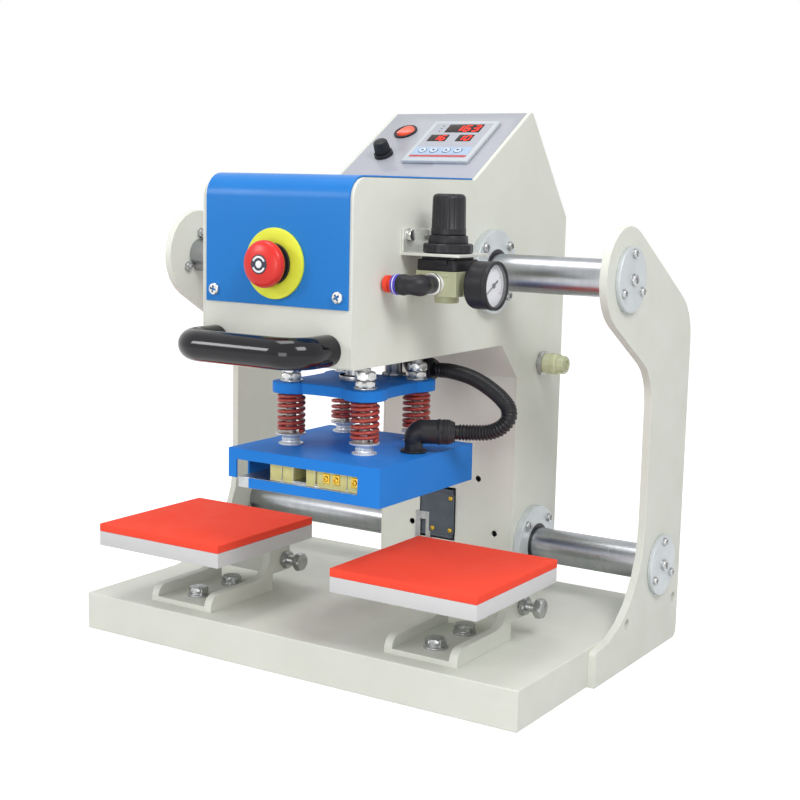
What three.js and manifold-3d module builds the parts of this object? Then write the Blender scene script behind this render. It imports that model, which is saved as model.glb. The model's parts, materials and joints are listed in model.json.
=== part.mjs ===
// Double-station pneumatic heat press, in millimetres, +Z up, front towards -Y.
// A carriage with the press head slides on two shafts between two lower stations.
// Sizes below are measured from the base tray's front face (y) and the table (z).
import * as THREE from "three";
import { mergeVertices } from "three/addons/utils/BufferGeometryUtils.js";
import Module from "manifold-3d";

const wasm = await Module();
wasm.setup();

// Clearances and counts
const seat = 0.3;
const overrun = 6;
const slideClearance = 0.4;
const weldDistance = 0.0005;
const roundSides = 24;
const smallSides = 12;
const tinySides = 8;
const cornerSteps = 4;

// Base tray
const baseHalfWidth = 246.5;
const baseDepth = 326;
const baseHeight = 37;
const baseSheet = 2;
const baseRim = 16;

// Side plates
const plateThickness = 7.5;
const plateFrontY = 240;
const plateRearY = 334;
const footFrontY = 137;
const toeHeight = 34;
const toeRadius = 5;
const heelRadius = 8;
const footSweep = 98;
const armRadius = 48;
const armSlope = THREE.MathUtils.degToRad(30);
const armNeckRadius = 45;
const armBackRadius = 50;
const footHoleRadius = 5.5;
const footHoles = { height: 43.5, fromNeck: 34, fromRear: 12.4 };

// Guide shafts
const shaftRadius = 17.5;
const upperShaft = { y: 174, z: 373 };
const lowerShaft = { y: 280, z: 87 };

// End caps on the plates' outer faces
const capRadius = 30;
const capThickness = 4.6;
const capScrewCircle = 23.5;
const capScrew = { radius: 4, height: 2.6 };
const capCentreScrew = { radius: 5.5, height: 3.4 };

// Carriage shell
const carriageHalfWidth = 79;
const carriageRestX = 32;
const shellSheet = 2;
const headFrontY = -57;
const headBottomZ = 300;
const headAboveShaft = 85.3;
const headTopZ = upperShaft.z + headAboveShaft;
const headCornerRadius = 18;
const panelFootY = 141.4;
const panelLength = 126;
const panelSlope = THREE.MathUtils.degToRad(32);
const ridgeDepth = 4.2;
const columnRearY = 335;
const rearShoulderZ = 423;
const columnFrontY = 237.2;
const columnBottomZ = 45;
const chamfer = { depth: 34.2, height: 35.4 };
const shellBend = 3;
const gland = { z: 150, radius: 9, length: 14 };

// Flanged linear bearings
const bearingRadius = 26;
const bearingLength = 135;
const bearingFlangeRadius = 40;
const bearingFlange = 8;
const bearingScrewCircle = 33.5;
const bearingScrew = { radius: 4.5, height: 3 };

// Blue front cover
const coverSheet = 1.5;
const coverMargin = { left: 5, right: 3 };
const coverHeight = 108.7;
const coverScrew = { inset: 9.8, height: 10.4, radius: 4, head: 2 };

// U handle
const handleRadius = 13.5;
const handlePitch = 119.5;
const handleOffsetX = -4.4;
const handleZ = 315;
const handleReach = 43;
const handleBend = 25;

// Emergency stop
const stop = { offsetX: 1.7, drop: 73.3, discRadius: 30, disc: 3, collarRadius: 15, collar: 7.5 };
const stopButton = { radius: 20, thickness: 12, gap: 8.2, stemRadius: 9, travel: 5 };
const stopBlock = { radius: 14, depth: 34, bore: 16 };

// Controller on the sloped panel: across, from the panel's foot, above its face
const controller = { left: -17, foot: 27.5, width: 74, height: 76, bezel: 4, body: 67, depth: 48 };
const key = { radius: 4.4, proud: 0.8, pocket: 2.4, travel: 0.5, foot: 18.5 };
const keyShares = [0.21, 0.38, 0.57, 0.745];
const rocker = { offsetX: -45, foot: 87.6, bezelRadius: 12, bezel: 2, radius: 9.4, proud: 2.2, depth: 7 };
const rockerRestTurn = THREE.MathUtils.degToRad(8);
const fuse = { offsetX: -46, foot: 43, baseRadius: 9.5, base: 4, capRadius: 7.8, topRadius: 6.6, cap: 12 };

// Limit switch and slotted bracket on the column's front
const switchOpening = { left: 1, right: 44, bottom: 87, top: 143 };
const switchBox = { margin: 2.5, proud: 1.5, depth: 15 };
const slotPlate = { left: -2.6, width: 18.6, bottom: 60, top: 114, thickness: 2, slot: 6.5, slotEnd: 8 };
const columnHoleRadius = 3.4;
const columnHoles = [{ x: 69.9, z: 156.3 }, { x: -8.4, z: 100.8 }, { x: 90.6, z: 101.6 }];

// Silencer bowl on the right cheek
const silencer = { y: 289, z: 275, nutFlats: 25, nut: 9.5, radius: 9.5, length: 20, dome: 4 };

// Air regulator on the right cheek
const regulator = { y: 41, outX: 32, bodyHalf: 20, bodyBottomZ: 359.5, bodyTopZ: 381 };
const regulatorBoss = { radius: 10.5, length: 6.5 };
const bonnet = { half: 20, topHalf: 17, bevel: 3, height: 12, neckRadius: 15, nutRadius: 21, nut: 8 };
const bonnetCollar = { radius: 17, height: 7 };
const bracketPlate = { thickness: 2.4, halfDepth: 25.5, height: 22.5, reach: 26 };
const bracketBolt = { pitch: 34.7, height: 17, radius: 4.2, head: 4 };
const knob = { radius: 15, topRadius: 14.2, height: 35, edge: 3 };
const gauge = { z: 370, stemRadius: 7, stem: 7, radius: 21, depth: 22, rim: 2.8, recess: 4 };
const needleRestTurn = THREE.MathUtils.degToRad(120);
const needle = { length: 14, tail: 5, halfWidth: 0.9, thickness: 0.8, hubRadius: 2.4 };
const elbow = { radius: 8, reach: 30, collarRadius: 10, collar: 8, leg: 17, ringRadius: 8.8, ring: 5 };
const plug = { radius: 7.4, length: 8.5 };

// Air cylinder, piston and spider plate
const pressOffsetX = -4;
const pressY = 71.5;
const cylinder = { radius: 33, boreRadius: 25, wall: 10, height: 122 };
const pistonRodRadius = 9;
const piston = { height: 14, restGap: 2 };
const rodFlange = { radius: 15, thickness: 5 };
const pressStroke = 59;
const postHalfX = 41;
const postHalfY = 43.5;
const spiderBottomZ = 262;
const spiderThickness = 10;
const spiderLobe = 17.5;
const spiderWaistHalfX = 50;
const spiderWaistHalfY = 47.5;

// Posts and springs
const studRadius = 5;
const nutFlats = 17;
const nutHeight = 7.4;
const nutGap = 0.8;
const studTip = 3;
const spacerHeight = 8;
const spacerShares = [[0.79, 0], [0.79, 0.25], [0.57, 0.36], [0.57, 0.64], [1, 0.75], [1, 1]];
const spacerRadius = 14;
const springRadius = 11;
const springWire = 4;
const springTurns = 7;
const springSteps = 8;
const springSides = 5;

// Heater cover and heating plate
const stationSize = 150;
const stationY = 58.7;
const heaterOffsetX = 3.5;
const heaterHalfX = 82.5;
const heaterHalfY = 79.8;
const heaterBottomZ = 178;
const heaterTopZ = 213;
const heaterSheet = 2;
const heaterWindow = { left: 9, right: 23, bottom: 9, top: 10, notch: 14, stripEnd: 8, openWall: 28 };
const platenProud = 1.5;
const platenThickness = 10;
const terminalStrip = { fromLeft: 33.5, width: 101, depth: 22, inset: 4, base: 2.4, height: 16.5 };
const terminalShares = [[0, 0.128], [0.139, 0.257], [0.396, 0.495], [0.515, 0.832], [0.84, 1]];
const guideRod = { offsetX: 6, y: 123, radius: 8, flangeRadius: 11.5, flange: 3, rim: 2, stay: 14 };

// Lower stations
const stationInset = 108;
const stationHalfPitch = baseHalfWidth - stationInset;
const padThickness = 7.6;
const lowerPlate = 14.2;
const lowerPlateZ = 94.6;
const bracketHalf = 38;
const bracketFrontY = 18;
const bracketRearY = 117;
const bracketFloor = 5;
const bracketWall = 8.5;
const bracketWallTop = 53;
const bracketNose = 12;
const bracketRise = { y: 88, radius: 24 };
const clampBlock = { depth: 29, bottomZ: 54, slit: 3, slitDepth: 30 };
const clampBolt = { z: 66, fromRear: 9, radius: 5, flats: 17, head: 7, out: 16, nut: 6, tip: 3 };
const baseBolt = { flats: 17, head: 6.5, washerRadius: 11, washer: 2, frontY: 45, rearGap: 9 };

// Conduit hose: its two fittings and its route
const hoseRadius = 7.3;
const hoseRootRadius = 6.2;
const hoseBoreRadius = 3.9;
const hoseRibPitch = 3;
const hoseSides = 8;
const hoseRibsPerBoreRing = 5;
const lowerFitting = {
  x: 98, y: 65, riseZ: 232, radius: 8.3, flangeRadius: 12, flange: 2.5, legRadius: 11, leg: 37,
};
const upperFitting = {
  x: 42, y: 148, dropZ: 278, radius: 8.3, flangeRadius: 12, flange: 2.5, legRadius: 9.5, leg: 27,
};
const fittingCollar = { radius: 11.5, length: 11 };
const lowerLegTurn = THREE.MathUtils.degToRad(32);
const hoseRoute = [
  [158, 99.5, 233.4], [168, 102.5, 238.8], [172.7, 106, 246.6], [169.5, 111, 254.5],
  [159, 117, 261.8], [144.4, 124, 268], [128.9, 131, 272.8], [111, 138.5, 276.3],
];

// Places that several pieces share
const carriageLeftX = carriageRestX - carriageHalfWidth;
const carriageRightX = carriageRestX + carriageHalfWidth;
const innerLeftX = carriageLeftX + shellSheet;
const innerRightX = carriageRightX - shellSheet;
const columnFrontTopZ = headBottomZ - chamfer.height;
const chamferTopY = columnFrontY - chamfer.depth;
const ridgeY = panelFootY + panelLength * Math.cos(panelSlope);
const ridgeZ = headTopZ + panelLength * Math.sin(panelSlope);
const pressX = carriageRestX + pressOffsetX;
const heaterX = carriageRestX + heaterOffsetX;
const stopX = carriageRestX + stop.offsetX;
const spiderTopZ = spiderBottomZ + spiderThickness;
const spacerTopZ = heaterTopZ + spacerHeight;
const platenBottomZ = heaterBottomZ - platenProud;
const platenTopZ = platenBottomZ + platenThickness;
const plateOuterX = baseHalfWidth + plateThickness;
const coverFaceY = headFrontY - seat - coverSheet;
const coverBottomZ = headTopZ - coverHeight;
const stopZ = headTopZ - stop.drop;
const regulatorX = carriageRightX + regulator.outX;
const bracketPlateZ = regulator.bodyTopZ + bonnet.height + seat;
const bracketPlateTopZ = bracketPlateZ + bracketPlate.thickness;
const ringNutTopZ = bracketPlateTopZ + seat + bonnet.nut;
const knobZ = ringNutTopZ + bonnetCollar.height + seat;
const gaugeBackX = regulatorX + regulator.bodyHalf + gauge.stem;
const gaugeFaceX = gaugeBackX + gauge.depth - gauge.recess;
const machineFrontY = headFrontY - handleReach - handleRadius;
const machineRearY = columnRearY + gland.length;

const axisX = new THREE.Vector3(1, 0, 0);
const axisY = new THREE.Vector3(0, 1, 0);
const axisZ = new THREE.Vector3(0, 0, 1);

// Solids

function solidOf(geometry) {
  const bare = new THREE.BufferGeometry();
  bare.setAttribute("position", geometry.getAttribute("position"));
  if (geometry.index) {
    bare.setIndex(geometry.index);
  }
  const merged = mergeVertices(bare, weldDistance);
  const positions = merged.getAttribute("position").array;
  const corners = merged.index.array;
  const triangles = [];
  let volume = 0;
  for (let i = 0; i < corners.length; i += 3) {
    const [a, b, c] = [corners[i], corners[i + 1], corners[i + 2]];
    if (a === b || b === c || c === a) {
      continue;
    }
    triangles.push([a, b, c]);
    const [p, q, r] = [a, b, c].map((index) => new THREE.Vector3().fromArray(positions, 3 * index));
    volume += p.dot(q.cross(r));
  }
  const facingOut = volume > 0 ? triangles : triangles.map(([a, b, c]) => [a, c, b]);
  return new wasm.Manifold(new wasm.Mesh({
    numProp: 3,
    vertProperties: new Float32Array(positions),
    triVerts: new Uint32Array(facingOut.flat()),
  }));
}

function geometryOf(solid) {
  const { numProp, vertProperties, triVerts } = solid.getMesh();
  const positions = [];
  for (let i = 0; i < vertProperties.length; i += numProp) {
    positions.push(vertProperties[i], vertProperties[i + 1], vertProperties[i + 2]);
  }
  const geometry = new THREE.BufferGeometry();
  geometry.setAttribute("position", new THREE.Float32BufferAttribute(positions, 3));
  geometry.setIndex(Array.from(triVerts));
  geometry.computeVertexNormals();
  return geometry;
}

function join(...solids) {
  return solids.reduce((whole, solid) => whole.add(solid));
}

function cut(solid, ...tools) {
  return tools.reduce((rest, tool) => rest.subtract(tool), solid);
}

function block([x0, x1], [y0, y1], [z0, z1]) {
  const geometry = new THREE.BoxGeometry(x1 - x0, y1 - y0, z1 - z0);
  geometry.translate((x0 + x1) / 2, (y0 + y1) / 2, (z0 + z1) / 2);
  return solidOf(geometry);
}

function rod(radius, from, to, sides = roundSides, turn = 0) {
  const start = new THREE.Vector3(...from);
  const end = new THREE.Vector3(...to);
  const along = end.clone().sub(start);
  const geometry = new THREE.CylinderGeometry(radius, radius, along.length(), sides);
  geometry.rotateY(turn);
  geometry.applyQuaternion(new THREE.Quaternion().setFromUnitVectors(axisY, along.normalize()));
  geometry.translate(...start.add(end).divideScalar(2));
  return solidOf(geometry);
}

function hexagon(flats, from, to, turn = 0) {
  return rod(flats / Math.sqrt(3), from, to, 6, turn);
}

// A turned piece: its profile lists radius and distance along the axis, from axis to axis.
function turned(profile, at, direction, sides = roundSides) {
  const geometry = new THREE.LatheGeometry(profile.map(([r, h]) => new THREE.Vector2(r, h)), sides);
  geometry.applyQuaternion(new THREE.Quaternion().setFromUnitVectors(axisY, direction));
  geometry.translate(...at);
  return solidOf(geometry);
}

const rockerWaistShare = 0.9;
const fuseShoulderShare = 0.9;
const fuseFaceShare = 0.85;
const domeShares = [[0, 0], [1, 0], [1, 0.45], [0.75, 0.85], [0, 1]];

// A domed screw head, sunk a little into what it joins.
function screwHead(radius, height, at, direction) {
  const profile = domeShares.map(([r, h]) => [r * radius, h * height]);
  profile[0][1] = -seat;
  profile[1][1] = -seat;
  return turned(profile, at, direction, tinySides);
}

function prism(outline, basis, start, depth) {
  const shape = new THREE.Shape(outline.map(([a, b]) => new THREE.Vector2(a, b)));
  const geometry = new THREE.ExtrudeGeometry(shape, { depth, bevelEnabled: false, steps: 1 });
  geometry.applyMatrix4(new THREE.Matrix4().makeBasis(...basis));
  geometry.translate(...start);
  return solidOf(geometry);
}

function prismX(outline, x0, x1) {
  return prism(outline, [axisY, axisZ, axisX], [x0, 0, 0], x1 - x0);
}

function prismZ(outline, z0, z1) {
  return prism(outline, [axisX, axisY, axisZ], [0, 0, z0], z1 - z0);
}

// An outline of corners [a, b, radius], with an arc at each corner that has a radius.
function rounded(corners, open = false) {
  const points = [];
  corners.forEach(([a, b, radius = 0], index) => {
    const atEnd = open && (index === 0 || index === corners.length - 1);
    const here = new THREE.Vector2(a, b);
    if (!radius || atEnd) {
      points.push([a, b]);
      return;
    }
    const before = corners[(index + corners.length - 1) % corners.length];
    const after = corners[(index + 1) % corners.length];
    const back = new THREE.Vector2(before[0], before[1]).sub(here).normalize();
    const ahead = new THREE.Vector2(after[0], after[1]).sub(here).normalize();
    const half = Math.acos(THREE.MathUtils.clamp(back.dot(ahead), -1, 1)) / 2;
    const centre = back.clone().add(ahead).normalize().multiplyScalar(radius / Math.sin(half)).add(here);
    const first = here.clone().addScaledVector(back, radius / Math.tan(half)).sub(centre);
    const side = Math.sign(back.cross(ahead));
    const steps = Math.max(2, Math.round(cornerSteps * (Math.PI - 2 * half)));
    for (let step = 0; step <= steps; step += 1) {
      const turn = side * -(Math.PI - 2 * half) * (step / steps);
      const point = first.clone().rotateAround(new THREE.Vector2(), turn).add(centre);
      points.push([point.x, point.y]);
    }
  });
  return points;
}

// The same path moved sideways to its right, with bend radii that keep the sheet's thickness.
function offsetPath(corners, distance) {
  const right = (from, to) => {
    const along = new THREE.Vector2(to[0] - from[0], to[1] - from[1]).normalize();
    return new THREE.Vector2(along.y, -along.x);
  };
  return corners.map((corner, index) => {
    const before = index > 0 ? right(corners[index - 1], corner) : null;
    const after = index < corners.length - 1 ? right(corner, corners[index + 1]) : null;
    const first = before || after;
    const second = after || before;
    const mitre = first.clone().add(second).divideScalar(1 + first.dot(second));
    const inside = first.cross(second) < 0;
    const radius = corner[2] ? corner[2] + (inside ? -distance : distance) : 0;
    return [corner[0] + mitre.x * distance, corner[1] + mitre.y * distance, radius];
  });
}

function foldedSheet(corners, thickness, x0, x1) {
  const outer = rounded(corners, true);
  const inner = rounded(offsetPath(corners, thickness), true);
  return prismX([...outer, ...inner.reverse()], x0, x1);
}

function addPart(parent, name, solid, look) {
  const mesh = new THREE.Mesh(geometryOf(solid), new THREE.MeshStandardMaterial(look));
  mesh.name = name;
  parent.add(mesh);
}

// Looks
const ivoryPaint = { color: 0xdee0d8, roughness: 0.45, metalness: 0 };
const bluePaint = { color: 0x3881d6, roughness: 0.4, metalness: 0 };
const panelFilm = { color: 0xcfd2dc, roughness: 0.5, metalness: 0 };
const steel = { color: 0xc3c6c9, roughness: 0.25, metalness: 1 };
const zincSteel = { color: 0xb4b6b6, roughness: 0.35, metalness: 1 };
const greyPaint = { color: 0xa7abad, roughness: 0.45, metalness: 0.2 };
const aluminium = { color: 0xc9cbcd, roughness: 0.4, metalness: 1 };
const whitePlate = { color: 0xe3e4e8, roughness: 0.45, metalness: 0 };
const redSilicone = { color: 0xfb5743, roughness: 0.7, metalness: 0 };
const redPlastic = { color: 0xd92f22, roughness: 0.3, metalness: 0 };
const yellowPlastic = { color: 0xdfe54a, roughness: 0.45, metalness: 0 };
const blackPlastic = { color: 0x2a2a2e, roughness: 0.4, metalness: 0 };
const glossBlack = { color: 0x17171a, roughness: 0.15, metalness: 0 };
const khakiPaint = { color: 0xc9cba3, roughness: 0.5, metalness: 0 };
const springPaint = { color: 0x98322a, roughness: 0.45, metalness: 0.2 };
const clearYellow = { color: 0xc9d65a, roughness: 0.2, metalness: 0 };
const keyBlue = { color: 0xa9c2e0, roughness: 0.5, metalness: 0 };

const press = new THREE.Group();
press.position.y = -(machineFrontY + machineRearY) / 2;

// Frame

function baseTray() {
  const outer = block([-baseHalfWidth, baseHalfWidth], [0, baseDepth], [0, baseHeight]);
  const inner = block(
    [-baseHalfWidth + baseSheet, baseHalfWidth - baseSheet],
    [baseSheet, baseDepth - baseSheet],
    [baseSheet, baseHeight - baseSheet],
  );
  const mouth = block(
    [-baseHalfWidth + baseRim, baseHalfWidth - baseRim],
    [baseRim, baseDepth - baseRim],
    [-overrun, baseSheet + overrun],
  );
  return cut(outer, inner, mouth);
}

function sidePlate(side) {
  const forward = new THREE.Vector2(-Math.cos(armSlope), Math.sin(armSlope)).multiplyScalar(armRadius);
  const down = new THREE.Vector2(-Math.sin(armSlope), -Math.cos(armSlope)).multiplyScalar(armRadius);
  const slope = Math.tan(armSlope);
  const neckZ = upperShaft.z + down.y - (plateFrontY - upperShaft.y - down.x) * slope;
  const backZ = upperShaft.z - down.y - (plateRearY - upperShaft.y + down.x) * slope;
  const outline = rounded([
    [footFrontY, 0],
    [footFrontY, toeHeight, toeRadius],
    [plateFrontY, toeHeight, footSweep],
    [plateFrontY, neckZ, armNeckRadius],
    [upperShaft.y + forward.x + down.x, upperShaft.z + forward.y + down.y, armRadius],
    [upperShaft.y + forward.x - down.x, upperShaft.z + forward.y - down.y, armRadius],
    [plateRearY, backZ, armBackRadius],
    [plateRearY, 0, heelRadius],
  ]);
  const inner = side * baseHalfWidth;
  const outer = side * plateOuterX;
  const plate = prismX(outline, Math.min(inner, outer), Math.max(inner, outer));
  const holes = [plateFrontY - footHoles.fromNeck, plateRearY - footHoles.fromRear].map((y) => rod(
    footHoleRadius,
    [inner - side * overrun, y, footHoles.height],
    [outer + side * overrun, y, footHoles.height],
    smallSides,
  ));
  return cut(plate, ...holes);
}

function guideShaft(place) {
  return rod(shaftRadius, [-baseHalfWidth, place.y, place.z], [baseHalfWidth, place.y, place.z]);
}

function endCap(side, place) {
  const outward = new THREE.Vector3(side, 0, 0);
  const faceX = side * (plateOuterX + capThickness);
  const disc = rod(capRadius, [side * plateOuterX, place.y, place.z], [faceX, place.y, place.z]);
  const screws = [0, 1, 2].map((index) => {
    const turn = (index * 2 * Math.PI) / 3;
    const at = [
      faceX,
      place.y + capScrewCircle * Math.sin(turn),
      place.z + capScrewCircle * Math.cos(turn),
    ];
    return screwHead(capScrew.radius, capScrew.height, at, outward);
  });
  const centre = screwHead(
    capCentreScrew.radius,
    capCentreScrew.height,
    [faceX, place.y, place.z],
    outward,
  );
  return join(disc, centre, ...screws);
}

addPart(press, "base_tray", baseTray(), ivoryPaint);
for (const [sideName, side] of [["left", -1], ["right", 1]]) {
  addPart(press, `${sideName}_side_plate`, sidePlate(side), ivoryPaint);
  addPart(press, `upper_${sideName}_end_cap`, endCap(side, upperShaft), ivoryPaint);
  addPart(press, `lower_${sideName}_end_cap`, endCap(side, lowerShaft), ivoryPaint);
}
addPart(press, "upper_shaft", guideShaft(upperShaft), steel);
addPart(press, "lower_shaft", guideShaft(lowerShaft), steel);

// Lower stations

function stationBracket(x) {
  const left = x - bracketHalf;
  const right = x + bracketHalf;
  const side = rounded([
    [bracketFrontY, baseHeight],
    [bracketFrontY, bracketWallTop, bracketNose],
    [bracketRise.y + bracketRise.radius, bracketWallTop, bracketRise.radius],
    [bracketRise.y + bracketRise.radius, lowerPlateZ],
    [bracketRearY + clampBlock.depth, lowerPlateZ],
    [bracketRearY + clampBlock.depth, clampBlock.bottomZ],
    [bracketRearY, clampBlock.bottomZ],
    [bracketRearY, baseHeight],
  ]);
  const channel = block(
    [left + bracketWall, right - bracketWall],
    [bracketFrontY - overrun, bracketRearY],
    [baseHeight + bracketFloor, lowerPlateZ + overrun],
  );
  const slit = block(
    [x - clampBlock.slit / 2, x + clampBlock.slit / 2],
    [bracketRearY - overrun, bracketRearY + clampBlock.depth + overrun],
    [lowerPlateZ - clampBlock.slitDepth, lowerPlateZ + overrun],
  );
  const boltY = bracketRearY + clampBlock.depth - clampBolt.fromRear;
  const boltHole = rod(
    clampBolt.radius + slideClearance,
    [left - overrun, boltY, clampBolt.z],
    [right + overrun, boltY, clampBolt.z],
    smallSides,
  );
  const floorZ = baseHeight + bracketFloor;
  const bolts = [baseBolt.frontY, bracketRearY - baseBolt.rearGap - baseBolt.washerRadius].flatMap((y) => [
    rod(baseBolt.washerRadius, [x, y, floorZ - seat], [x, y, floorZ + baseBolt.washer], smallSides),
    hexagon(baseBolt.flats, [x, y, floorZ], [x, y, floorZ + baseBolt.washer + baseBolt.head]),
  ]);
  return join(cut(prismX(side, left, right), channel, slit, boltHole), ...bolts);
}

function stationClampBolt(x) {
  const y = bracketRearY + clampBlock.depth - clampBolt.fromRear;
  const at = (distance) => [x + distance, y, clampBolt.z];
  const nutFoot = bracketHalf + seat;
  const headFoot = bracketHalf + clampBolt.out;
  return join(
    rod(clampBolt.radius, at(-bracketHalf - clampBolt.tip), at(headFoot), smallSides),
    hexagon(clampBolt.flats, at(nutFoot), at(nutFoot + clampBolt.nut)),
    hexagon(clampBolt.flats, at(headFoot - seat), at(headFoot + clampBolt.head)),
  );
}

function stationSlab(x, z0, z1) {
  const half = stationSize / 2;
  return block([x - half, x + half], [stationY - half, stationY + half], [z0, z1]);
}

for (const [sideName, x] of [["left", -stationHalfPitch], ["right", stationHalfPitch]]) {
  const plateTopZ = lowerPlateZ + lowerPlate;
  addPart(press, `${sideName}_bracket`, stationBracket(x), ivoryPaint);
  addPart(press, `${sideName}_clamp_bolt`, stationClampBolt(x), zincSteel);
  addPart(press, `${sideName}_lower_plate`, stationSlab(x, lowerPlateZ, plateTopZ), whitePlate);
  const pad = stationSlab(x, plateTopZ, plateTopZ + padThickness);
  addPart(press, `${sideName}_silicone_pad`, pad, redSilicone);
}

// Carriage shell

function cheek(x0, x1, upperHoleRadius, lowerHoleRadius) {
  const outline = rounded([
    [columnFrontY, columnBottomZ],
    [columnFrontY, columnFrontTopZ],
    [chamferTopY, headBottomZ],
    [headFrontY, headBottomZ, shellBend],
    [headFrontY, headTopZ, headCornerRadius],
    [panelFootY, headTopZ],
    [ridgeY, ridgeZ],
    [ridgeY + ridgeDepth, ridgeZ],
    [columnRearY, rearShoulderZ],
    [columnRearY, columnBottomZ],
  ]);
  const holes = [[upperShaft, upperHoleRadius], [lowerShaft, lowerHoleRadius]].map(([place, radius]) => (
    rod(radius, [x0 - overrun, place.y, place.z], [x1 + overrun, place.y, place.z])
  ));
  return cut(prismX(outline, x0, x1), ...holes);
}

function headWrap() {
  const sheet = foldedSheet([
    [columnFrontY, columnBottomZ],
    [columnFrontY, columnFrontTopZ],
    [chamferTopY, headBottomZ],
    [headFrontY, headBottomZ, shellBend],
    [headFrontY, headTopZ, headCornerRadius],
    [panelFootY, headTopZ],
  ], shellSheet, innerLeftX, innerRightX);
  const throughBottom = (x, y, radius) => rod(
    radius,
    [x, y, headBottomZ - overrun],
    [x, y, headBottomZ + shellSheet + overrun],
    smallSides,
  );
  const throughColumn = ({ x, z }) => rod(
    columnHoleRadius,
    [x, columnFrontY - overrun, z],
    [x, columnFrontY + shellSheet + overrun, z],
    tinySides,
  );
  const stopHole = rod(
    stopBlock.radius + slideClearance,
    [stopX, headFrontY - overrun, stopZ],
    [stopX, headFrontY + shellSheet + overrun, stopZ],
  );
  const opening = block(
    [switchOpening.left, switchOpening.right],
    [columnFrontY - overrun, columnFrontY + shellSheet + overrun],
    [switchOpening.bottom, switchOpening.top],
  );
  return cut(
    sheet,
    throughBottom(pressX, pressY, pistonRodRadius + slideClearance),
    throughBottom(carriageRestX + guideRod.offsetX, guideRod.y, guideRod.radius + slideClearance),
    stopHole,
    opening,
    ...columnHoles.map(throughColumn),
  );
}

function rearCover() {
  const sheet = foldedSheet([
    [ridgeY + shellSheet * Math.sin(panelSlope) + seat, ridgeZ],
    [ridgeY + ridgeDepth, ridgeZ],
    [columnRearY, rearShoulderZ],
    [columnRearY, columnBottomZ],
    [columnFrontY + shellSheet + seat, columnBottomZ],
  ], shellSheet, innerLeftX, innerRightX);
  const cordGland = rod(
    gland.radius,
    [carriageRestX, columnRearY - seat, gland.z],
    [carriageRestX, columnRearY + gland.length, gland.z],
    smallSides,
  );
  return join(sheet, cordGland);
}

function frontCover() {
  const left = carriageLeftX + coverMargin.left;
  const right = carriageRightX - coverMargin.right;
  const topZ = headTopZ + seat + coverSheet;
  const sheet = foldedSheet([
    [coverFaceY, coverBottomZ],
    [coverFaceY, topZ, headCornerRadius + seat + coverSheet],
    [panelFootY - seat, topZ],
  ], coverSheet, left, right);
  const hole = rod(
    stopBlock.radius + slideClearance,
    [stopX, coverFaceY - overrun, stopZ],
    [stopX, headFrontY + overrun, stopZ],
  );
  const screws = [left + coverScrew.inset, right - coverScrew.inset].map((x) => screwHead(
    coverScrew.radius,
    coverScrew.head,
    [x, coverFaceY, coverBottomZ + coverScrew.height],
    new THREE.Vector3(0, -1, 0),
  ));
  return join(cut(sheet, hole), ...screws);
}

function linearBearing(place) {
  const flangeX = carriageRightX + bearingFlange;
  const outer = join(
    rod(bearingFlangeRadius, [carriageRightX, place.y, place.z], [flangeX, place.y, place.z]),
    rod(bearingRadius, [flangeX - bearingLength, place.y, place.z], [flangeX, place.y, place.z]),
  );
  const bore = rod(
    shaftRadius + slideClearance,
    [flangeX - bearingLength - overrun, place.y, place.z],
    [flangeX + overrun, place.y, place.z],
  );
  const screws = [1, 3, 5, 7].map((eighth) => {
    const turn = (eighth * Math.PI) / 4;
    const y = place.y + bearingScrewCircle * Math.sin(turn);
    const z = place.z + bearingScrewCircle * Math.cos(turn);
    return screwHead(bearingScrew.radius, bearingScrew.height, [flangeX, y, z], axisX);
  });
  return join(cut(outer, bore), ...screws);
}

const shaftHoleRadius = shaftRadius + 2 * slideClearance;
const bearingHoleRadius = bearingRadius + slideClearance;
addPart(
  press,
  "left_cheek",
  cheek(carriageLeftX, innerLeftX, shaftHoleRadius, shaftHoleRadius),
  ivoryPaint,
);
addPart(
  press,
  "right_cheek",
  cheek(innerRightX, carriageRightX, bearingHoleRadius, bearingHoleRadius),
  ivoryPaint,
);
addPart(press, "head_wrap", headWrap(), ivoryPaint);
addPart(press, "rear_cover", rearCover(), ivoryPaint);
addPart(press, "front_cover", frontCover(), bluePaint);
addPart(press, "upper_bearing", linearBearing(upperShaft), greyPaint);
addPart(press, "lower_bearing", linearBearing(lowerShaft), greyPaint);

// Handle

function bentPath(points, bend) {
  const arcShare = 0.5523;
  const path = new THREE.CurvePath();
  let start = points[0];
  points.slice(1, -1).forEach((corner, index) => {
    const towards = (other) => other.clone().sub(corner).normalize().multiplyScalar(bend).add(corner);
    const back = towards(points[index]);
    const ahead = towards(points[index + 2]);
    path.add(new THREE.LineCurve3(start, back));
    path.add(new THREE.CubicBezierCurve3(
      back,
      back.clone().lerp(corner, arcShare),
      ahead.clone().lerp(corner, arcShare),
      ahead,
    ));
    start = ahead;
  });
  path.add(new THREE.LineCurve3(start, points.at(-1)));
  return path;
}

function handle() {
  const handleSteps = 26;
  const middleX = carriageRestX + handleOffsetX;
  const corner = (side, reach) => new THREE.Vector3(
    middleX + (side * handlePitch) / 2,
    headFrontY - reach,
    handleZ,
  );
  const path = bentPath(
    [corner(-1, 0), corner(-1, handleReach), corner(1, handleReach), corner(1, 0)],
    handleBend,
  );
  const section = new THREE.Shape().absarc(0, 0, handleRadius, 0, 2 * Math.PI);
  return solidOf(new THREE.ExtrudeGeometry(section, {
    steps: handleSteps,
    curveSegments: smallSides / 2,
    bevelEnabled: false,
    extrudePath: path,
  }));
}

addPart(press, "handle", handle(), glossBlack);

// Emergency stop

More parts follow.
